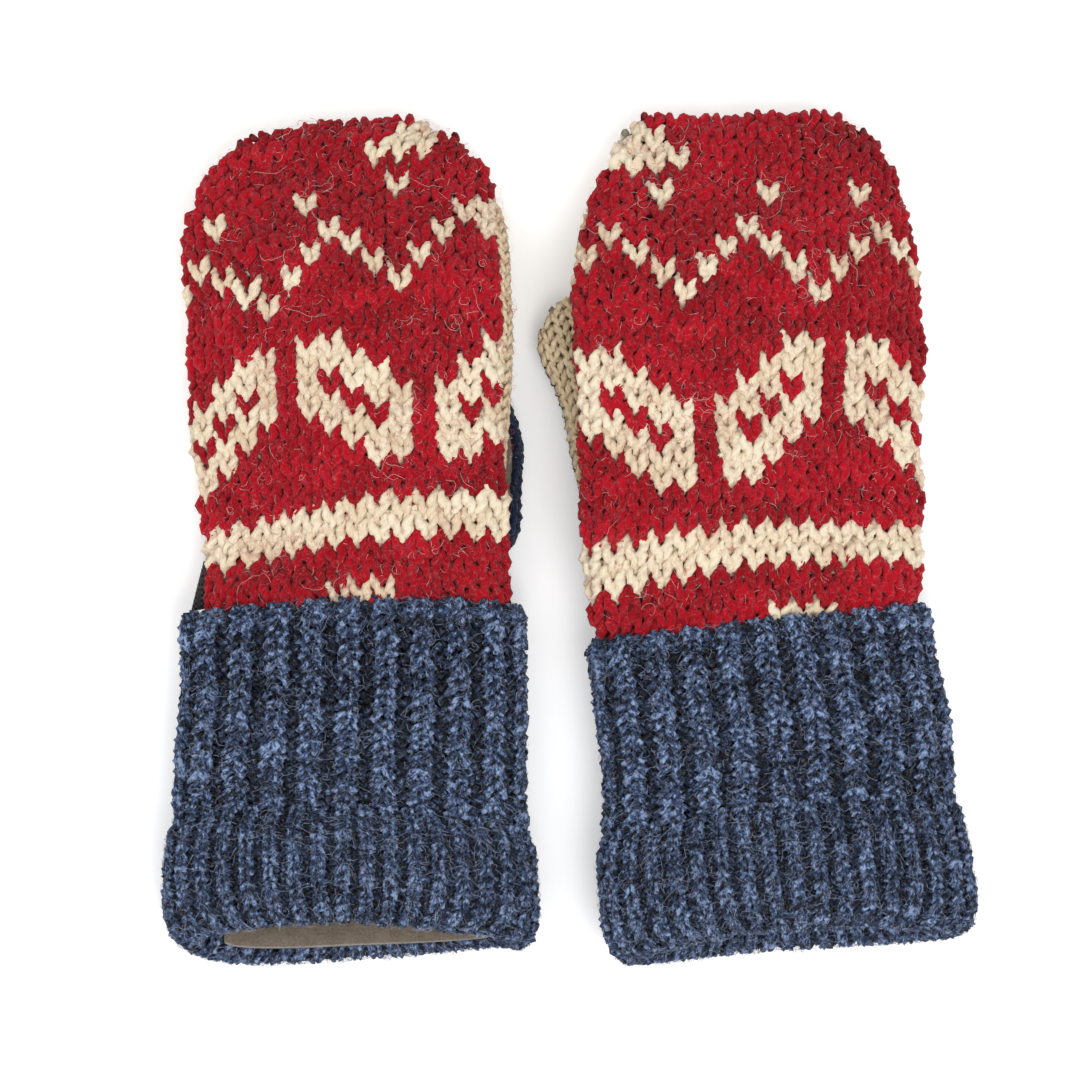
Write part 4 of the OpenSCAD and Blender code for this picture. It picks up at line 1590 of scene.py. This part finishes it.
@dataclass
class Thumb:
    """The thumb: a cream half towards the palm and a navy half on the table."""

    shape: MittenShape
    roll: float = 0.0
    under: float = -1.15
    bend_l: float = 28.0

    def build(self) -> None:
        """Knits both halves and their lining, and sews its seam."""
        side = self.shape.sizes.hand.value
        st = THUMB_STITCH
        length = self.shape.sizes.thumb_l
        plans = (
            ("thumb_upper", Finish.PALM, Finish.BACKING_CREAM, "cream_wool", 0.0, 0.0),
            ("thumb_lower", Finish.LOWER, Finish.BACKING_NAVY, "navy_wool", 2.0, -16.0),
        )
        for name, wool, backing_finish, slot, centre, start in plans:
            ups = np.concatenate([np.arange(start, length - 10, 1.5),
                                  np.arange(length - 10, length - 0.8, 0.4)])
            skin = Skin(self.shape.thumb_section, centre, ups, 34.0, spread=1.3, step=0.5)
            top = skin.ups[-1]
            outer = 1 if centre == 0.0 else 0

            def limit(which: int, inset: float) -> Limit:
                """Side seam of this half, less an inset and where it is rolled over the edge."""
                roll = self.roll if which == outer else 0.0
                return lambda v, s=skin: (s.edge(which, v) + (inset if which == 0 else -inset)
                                          - roll * (1 - smooth(38, 62, v)))

            floor = lambda a, b=start: np.full(np.shape(a), b + 0.3)
            ceiling = lambda a, t=top: np.full(np.shape(a), t - 0.5)
            knit = FlatKnit(skin, st, lambda j, a, b=start: b + (j + 0.6) * st.height + 0 * a,
                            range(0, int((top - start) / st.height) + 1), range(-5, 5), -0.5,
                            limit(0, 0.3), limit(1, 0.3), floor, ceiling,
                            out=lambda a, v: np.full(len(a), self.under), seed=8)
            strands = Strands(self.shape)
            knit.lay(strands)
            yarn = strands.sweep(f"{side}_{name}_knit", wool, st.sides, 0.2, 1.0)
            share = np.sin(np.linspace(-1, 1, 23) * math.pi / 2)
            v = np.linspace(start + 0.6, top - 1.2, 34)[:, None] + 0 * share[None, :]
            lo, hi = limit(0, 0.6)(v), limit(1, 0.6)(v)
            across = (lo + hi) / 2 + (hi - lo) / 2 * share[None, :]
            faces = [skin.at(across, v, np.full(across.shape, self.under - extra))
                     for extra in (1.0, 1.7)]
            backing = Shell(*faces).build(f"{side}_{name}_backing", self.shape, backing_finish)
            self.keep(yarn, slot)
            self.keep(backing, slot, f"{side}_{name}_half")
        self.lining()
        self.seam()

    def keep(self, piece: bpy.types.Object, slot: str, *nodes: str) -> None:
        """Bakes a piece's place into its mesh, hides the nodes it stands for, and says what it is.

        Args:
            piece: The finished piece.
            slot: Not used.
            nodes: The nodes it stands for.
        """
        s = self.shape.sizes
        start, end = self.shape.to_row(np.array([[s.thumb_x, s.crotch_y, self.shape.thumb_z],
                                                 [s.thumb_x, s.crotch_y + self.bend_l,
                                                  self.shape.thumb_z]]))
        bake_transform(piece)
        if nodes:
            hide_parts(*nodes)
        log.info("%s: %d faces, bent from %s to %s", piece.name, len(piece.data.polygons),
                 self.shape.body, self.shape.thumb_body)

    def lining(self) -> None:
        """The fleece finger inside the thumb."""
        side = self.shape.sizes.hand.value
        turns = np.linspace(0, 4, 41)[:-1][None, :]
        s = np.concatenate([np.linspace(0.5, 52, 22), np.linspace(54, 67, 10)])[:, None]
        outer = self.shape.thumb_section(turns - 1, s + 0 * turns)
        heart = outer.mean(axis=1, keepdims=True)
        reach = np.linalg.norm(outer - heart, axis=2, keepdims=True)
        faces = [heart + (outer - heart) * np.maximum(0.25, 1 - depth / reach)
                 for depth in (2.9, 3.9)]
        lining = Shell(*faces, closed=True).build(f"{side}_thumb_lining_fleece", self.shape,
                                                  Finish.FLEECE)
        self.keep(lining, "fleece", f"{side}_thumb_lining")

    def seam(self) -> None:
        """Overcast stitches of sewing thread along both sides of the thumb."""
        side = self.shape.sizes.hand.value
        strands = Strands(self.shape)
        s = np.arange(3, 66, 1.4)
        for edge in (-1, 1):
            zig = np.where(np.arange(len(s)) % 2 == 0, -0.13, 0.13)
            points = self.shape.thumb_section(edge + zig, s)
            strands.add(points, THREAD_RADIUS)
        thread = strands.sweep(f"{side}_thumb_seam_stitches", Finish.THREAD, 5, 0.0)
        self.keep(thread, "sewing_thread", f"{side}_thumb_seam_thread")


@dataclass
class Cuff:
    """The wide cuff: ribbed knit turned up over itself, with a finer band at the fold."""

    shape: MittenShape
    leg: float = 8.9
    rows_up: int = 22
    rows_band: int = 21

    def build(self) -> None:
        """Knits the turn-up and the band, their backings and the inner leg."""
        s = self.shape.sizes
        side = s.hand.value
        half = (s.cuff_a, s.cuff_b)
        up_path = ((s.band_h - 1.0, 0.3), (s.band_h + 20, 0.4), (s.cuff_h - 5, 0.2),
                   (s.cuff_h + 0.5, 0.6), (s.cuff_h + 3.0, 2.2), (s.cuff_h + 2.2, 4.6),
                   (s.cuff_h - 4, 5.0))
        band_path = ((8, self.leg + 0.4), (6, self.leg), (2.4, self.leg - 0.4), (0.3, self.leg - 2.6),
                     (0, self.leg - 5.4), (1.6, 0.6), (6, -2.45), (14, -3.5), (26, -3.5),
                     (35, -2.8), (40, -1.4), (s.band_h + 1, 0.2))
        hairs = Strands(self.shape)
        plans = (
            ("cuff_turnup", up_path, CUFF_STITCH, self.rows_up, 0.6, 0.6, 0.1, 3.3, 31),
            ("cuff_band", band_path, BAND_STITCH, self.rows_band, 0.58, 0.3, 0.0, 2.5, 41),
        )
        for name, path, st, rows, plain, relief, sink, deep, seed in plans:
            skin = RingSkin(self.shape, path, half)
            strands = Strands(self.shape)
            RibKnit(skin, st, rows, seed, plain, relief, sink).lay(strands)
            yarn = strands.sweep(f"{side}_{name}_knit", Finish.CUFF, st.sides, 0.25, 0.9)
            keep_piece(yarn, self.shape.body)
            share = np.arange(160)[None, :] / 160
            v = np.linspace(0.6, skin.ups[-1] - 0.6, 40)[:, None] + 0 * share
            faces = [skin.at(share + 0 * v, v, np.full(v.shape, -depth))
                     for depth in (deep, deep + 0.8)]
            backing = Shell(*faces, closed=True).build(f"{side}_{name}_backing", self.shape,
                                                       Finish.CUFF)
            keep_piece(backing, self.shape.body, [f"{side}_{name}"])
            top = float(skin.ups[-1])

            def spot(rng: np.random.Generator, limit: float = top) -> tuple[float, float]:
                """A place on the cuff."""
                return rng.uniform(0, 1), rng.uniform(1, limit - 4)

            for count, long, radius, pale, curl, key in ((3200, (2.0, 5.5), 0.065, 0.35, 0.6, 1),
                                                         (90, (7, 15), 0.06, 0.9, 0.5, 2)):
                LooseHairs(seed + key, count, long, radius, pale, steps=3 * key, curl=curl,
                           rise=(0.0, 1.3)).lay(
                    hairs, skin.at, spot, 1 / skin.girth)
        fuzz = hairs.sweep(f"{side}_cuff_loose_hairs", Finish.FUZZ_BLUE, 3, 0.0, 0.0)
        keep_piece(fuzz, self.shape.body)
        self.inner_leg(side)

    def inner_leg(self, side: str) -> None:
        """The ribbed leg inside the turn-up, up to where it is sewn to the hand.

        Args:
            side: The name of the hand.
        """
        s = self.shape.sizes
        share = np.arange(184)[None, :] / 184
        y = np.linspace(16.4, 99.6, 30)[:, None] + 0 * share
        rib = 0.35 * np.cos(TAU * share * 23)
        half = (s.wrist_a, self.shape.hand_z)
        faces = [self.shape.ring_point(share + 0 * y, y, inset + rib + 0 * y, half)
                 for inset in (0.5, 2.8)]
        # Its blue is darker than the cuff's wool: painted shade inside the turn-up.
        leg = Shell(*faces, closed=True).build(f"{side}_cuff_inner_rib", self.shape,
                                               Finish.BACKING_BLUE)
        keep_piece(leg, self.shape.body, [f"{side}_cuff_inner"])


@dataclass
class Lining:
    """The fleece inside the hand and the cuff, in three panels."""

    shape: MittenShape
    outer_in: float = 3.7
    inner_in: float = 5.3

    def build(self) -> None:
        """Cuts the three panels at an even distance inside the knit."""
        s = self.shape.sizes
        side = s.hand.value
        share = np.linspace(0.98, -0.98, 41)[None, :]
        c = np.sin(share * math.pi / 2)
        crotch = s.crotch_y
        plans = (
            ("back_lining", True, 4.0, s.length, (0.112, 0.285), 0.0285),
            ("upper_palm_lining", False, crotch + 0.15, s.length, (0.112, 0.138), 0.0134),
            ("lower_palm_lining", False, s.lining_low, crotch - 0.15, (0.112, 0.15), 0.0148),
        )
        for name, top, low, high, flat, area in plans:
            faces = []
            for d in (self.outer_in, self.inner_in):
                end = min(high, self.shape.top_y - d - 2.0)
                body = np.linspace(low, min(end, s.length - s.tip_l), 40)
                tip = (np.array([]) if end < s.length - s.tip_l
                       else np.linspace(s.length - s.tip_l, end, 16)[1:])
                y = np.concatenate([body, tip])[:, None] + 0 * c
                sunk = self.socketed(y, c, low) if name == "lower_palm_lining" else y
                faces.append(self.shape.knit_section(share + (0 if top else 2) + 0 * y, sunk, d))
            panel = Shell(*faces).build(f"{side}_{name}_fleece", self.shape, Finish.FLEECE)
            keep_piece(panel, self.shape.body, [f"{side}_{name}"])

    def socketed(self, y: Array, c: Array, low: float) -> Array:
        """Heights drawn down round the thumb's root, so that the panel ends at its socket.

        Args:
            y: Heights on the straight panel.
            c: Places across it, from -1 to 1.
            low: Its lower edge.

        Returns:
            The heights.
        """
        s = self.shape.sizes
        x = -c * (s.wrist_a + s.hand_a) / 2
        dip = np.sqrt(np.maximum(0, SOCKET_RADIUS ** 2 - (x - s.thumb_x) ** 2))
        reach = s.crotch_y - 0.15 - low
        return low + (y - low) * (reach - dip) / reach


@dataclass
class Seams:
    """The sewing thread that joins the panels, and the tape tab in the left outer seam."""

    shape: MittenShape
    inset: float = 1.7
    side_in: float = 3.2

    def build(self) -> None:
        """Sews the side, palm and cuff seams."""
        s = self.shape.sizes
        side = s.hand.value
        y = np.arange(124, self.shape.top_y - 14, 1.5)
        zig = np.where(np.arange(len(y)) % 2 == 0, -0.5, 0.5)
        strands = Strands(self.shape)
        for edge in (-1, 1):
            points = self.shape.knit_section(edge + 0 * y, y)
            points[:, 0] -= edge * self.side_in
            points[:, 2] += zig
            strands.add(points, THREAD_RADIUS)
        self.keep(strands, f"{side}_side_seam_stitches", f"{side}_side_seam_thread")
        strands = Strands(self.shape)
        c = np.arange(-0.96, 0.2, 0.014)
        zig = np.where(np.arange(len(c)) % 2 == 0, -0.8, 0.8)
        flat = self.shape.skin_point(c, np.full(len(c), s.crotch_y + 0.2), 3.0, False)
        flat[:, 1] += zig
        strands.add(flat, THREAD_RADIUS)
        self.keep(strands, f"{side}_palm_seam_stitches", f"{side}_palm_seam_thread")
        strands = Strands(self.shape)
        share = np.linspace(0, 1, 241)
        zig = np.where(np.arange(241) % 2 == 0, -0.9, 0.9)
        ring = self.shape.ring_point(share, SEAM_Y + zig, self.inset + 0 * share,
                                     (s.wrist_a, self.shape.hand_z))
        strands.add(ring, THREAD_RADIUS)
        self.keep(strands, f"{side}_cuff_seam_stitches", f"{side}_cuff_seam_thread")
        if s.hand is Hand.LEFT:
            self.tab()

    def keep(self, strands: Strands, name: str, node: str) -> None:
        """Sweeps the thread and puts it in place of its node.

        Args:
            strands: Its stitches.
            name: The piece's name.
            node: The node.
        """
        thread = strands.sweep(name, Finish.THREAD, 5, 0.0)
        keep_piece(thread, self.shape.body, [node])

    def tab(self) -> None:
        """A short end of tape caught in the seam just above the cuff, which flares downwards."""
        rows, cols = 13, 9
        down = np.linspace(0, 1, rows)[:, None]
        out = np.linspace(0, 1, cols)[None, :]
        y = 137.5 - 15.5 * down - 1.2 * out * down
        x = -45.0 - (3.6 + 3.6 * down) * out - 0.6 * down
        z = 15.6 - 1.4 * out ** 2 + 0.5 * np.sin(3 * down) * out
        faces = [np.stack([x + 0 * z, y + 0 * z, z + lift], -1) for lift in (0.3, -0.3)]
        tab = Shell(*faces).build("left_seam_tab_tape", self.shape, Finish.TAPE)
        keep_piece(tab, self.shape.body, ["left_seam_tab"])


class Studio:
    """Plain pale floor, soft light, and the camera over the pair."""

    middle = (-0.011, 0.0, 0.012)
    distance = 0.95
    elevation = 86.0
    view_width = 0.36

    def build(self) -> None:
        """Sets the floor, the lights, the world and the camera."""
        self.floor()
        self.world()
        self.light("key", (0.35, -0.6, 1.1), 0.8, 9.0)
        self.light("fill", (-0.7, 0.2, 1.0), 1.1, 4.0)
        self.camera()
        bpy.context.scene.view_settings.view_transform = "Standard"

    def floor(self) -> None:
        """A wide white floor just under the mittens."""
        mesh = bpy.data.meshes.new("floor")
        r = 6.0
        mesh.from_pydata([(-r, -r, 0), (r, -r, 0), (r, r, 0), (-r, r, 0)], [], [(0, 1, 2, 3)])
        obj = bpy.data.objects.new("floor", mesh)
        obj.location.z = -0.0004
        bpy.context.scene.collection.objects.link(obj)
        material = bpy.data.materials.new("Pale floor")
        material.use_nodes = True
        shader = material.node_tree.nodes["Principled BSDF"]
        shader.inputs["Base Color"].default_value = (0.97, 0.97, 0.97, 1)
        shader.inputs["Emission Color"].default_value = (1, 1, 1, 1)
        shader.inputs["Emission Strength"].default_value = 0.16
        shader.inputs["Roughness"].default_value = 0.9
        mesh.materials.append(material)

    def world(self) -> None:
        """Even white surroundings."""
        world = bpy.data.worlds.new("Studio")
        world.use_nodes = True
        world.node_tree.nodes["Background"].inputs[0].default_value = (1, 1, 1, 1)
        world.node_tree.nodes["Background"].inputs[1].default_value = 0.75
        bpy.context.scene.world = world

    def light(self, name: str, place: tuple[float, float, float], size: float,
              power: float) -> None:
        """A soft square light that faces the pair.

        Args:
            name: The light's name.
            place: Where it hangs, in metres.
            size: Its side, in metres.
            power: Its power, in watts.
        """
        lamp = bpy.data.lights.new(name, "AREA")
        lamp.size = size
        lamp.energy = power
        obj = bpy.data.objects.new(name, lamp)
        obj.location = place
        aim = np.array(self.middle) - np.array(place)
        obj.rotation_euler = (math.atan2(math.hypot(aim[0], aim[1]), -aim[2]), 0,
                              math.atan2(aim[1], aim[0]) - math.pi / 2)
        bpy.context.scene.collection.objects.link(obj)

    def camera(self) -> None:
        """A long lens high over the pair, a little from the cuffs' side."""
        tilt = math.radians(self.elevation)
        lens = bpy.data.cameras.new("camera")
        lens.sensor_width = 36.0
        lens.lens = 36.0 * self.distance / self.view_width
        lens.clip_end = 20.0
        obj = bpy.data.objects.new("camera", lens)
        x, y, z = self.middle
        obj.location = (x, y - self.distance * math.cos(tilt), z + self.distance * math.sin(tilt))
        obj.rotation_euler = (math.pi / 2 - tilt, 0, 0)
        bpy.context.scene.collection.objects.link(obj)
        bpy.context.scene.camera = obj


def main() -> None:
    """Builds both mittens and the studio, in order."""
    logging.basicConfig(level=logging.INFO, format="%(name)s %(message)s")
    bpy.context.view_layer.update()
    for sizes in (LEFT_SIZES, RIGHT_SIZES):
        shape = MittenShape(sizes)
        left = sizes.hand is Hand.LEFT
        seam_in = 7.0 if left else 1.0
        BackPanel(shape, seam_in=seam_in).build()
        PalmPanels(shape, seam_in=seam_in).build()
        Thumb(shape, roll=9.0 if left else 0.0).build()
        Cuff(shape).build()
        Lining(shape).build()
        Seams(shape).build()
    Studio().build()


if __name__ == "__main__":
    main()
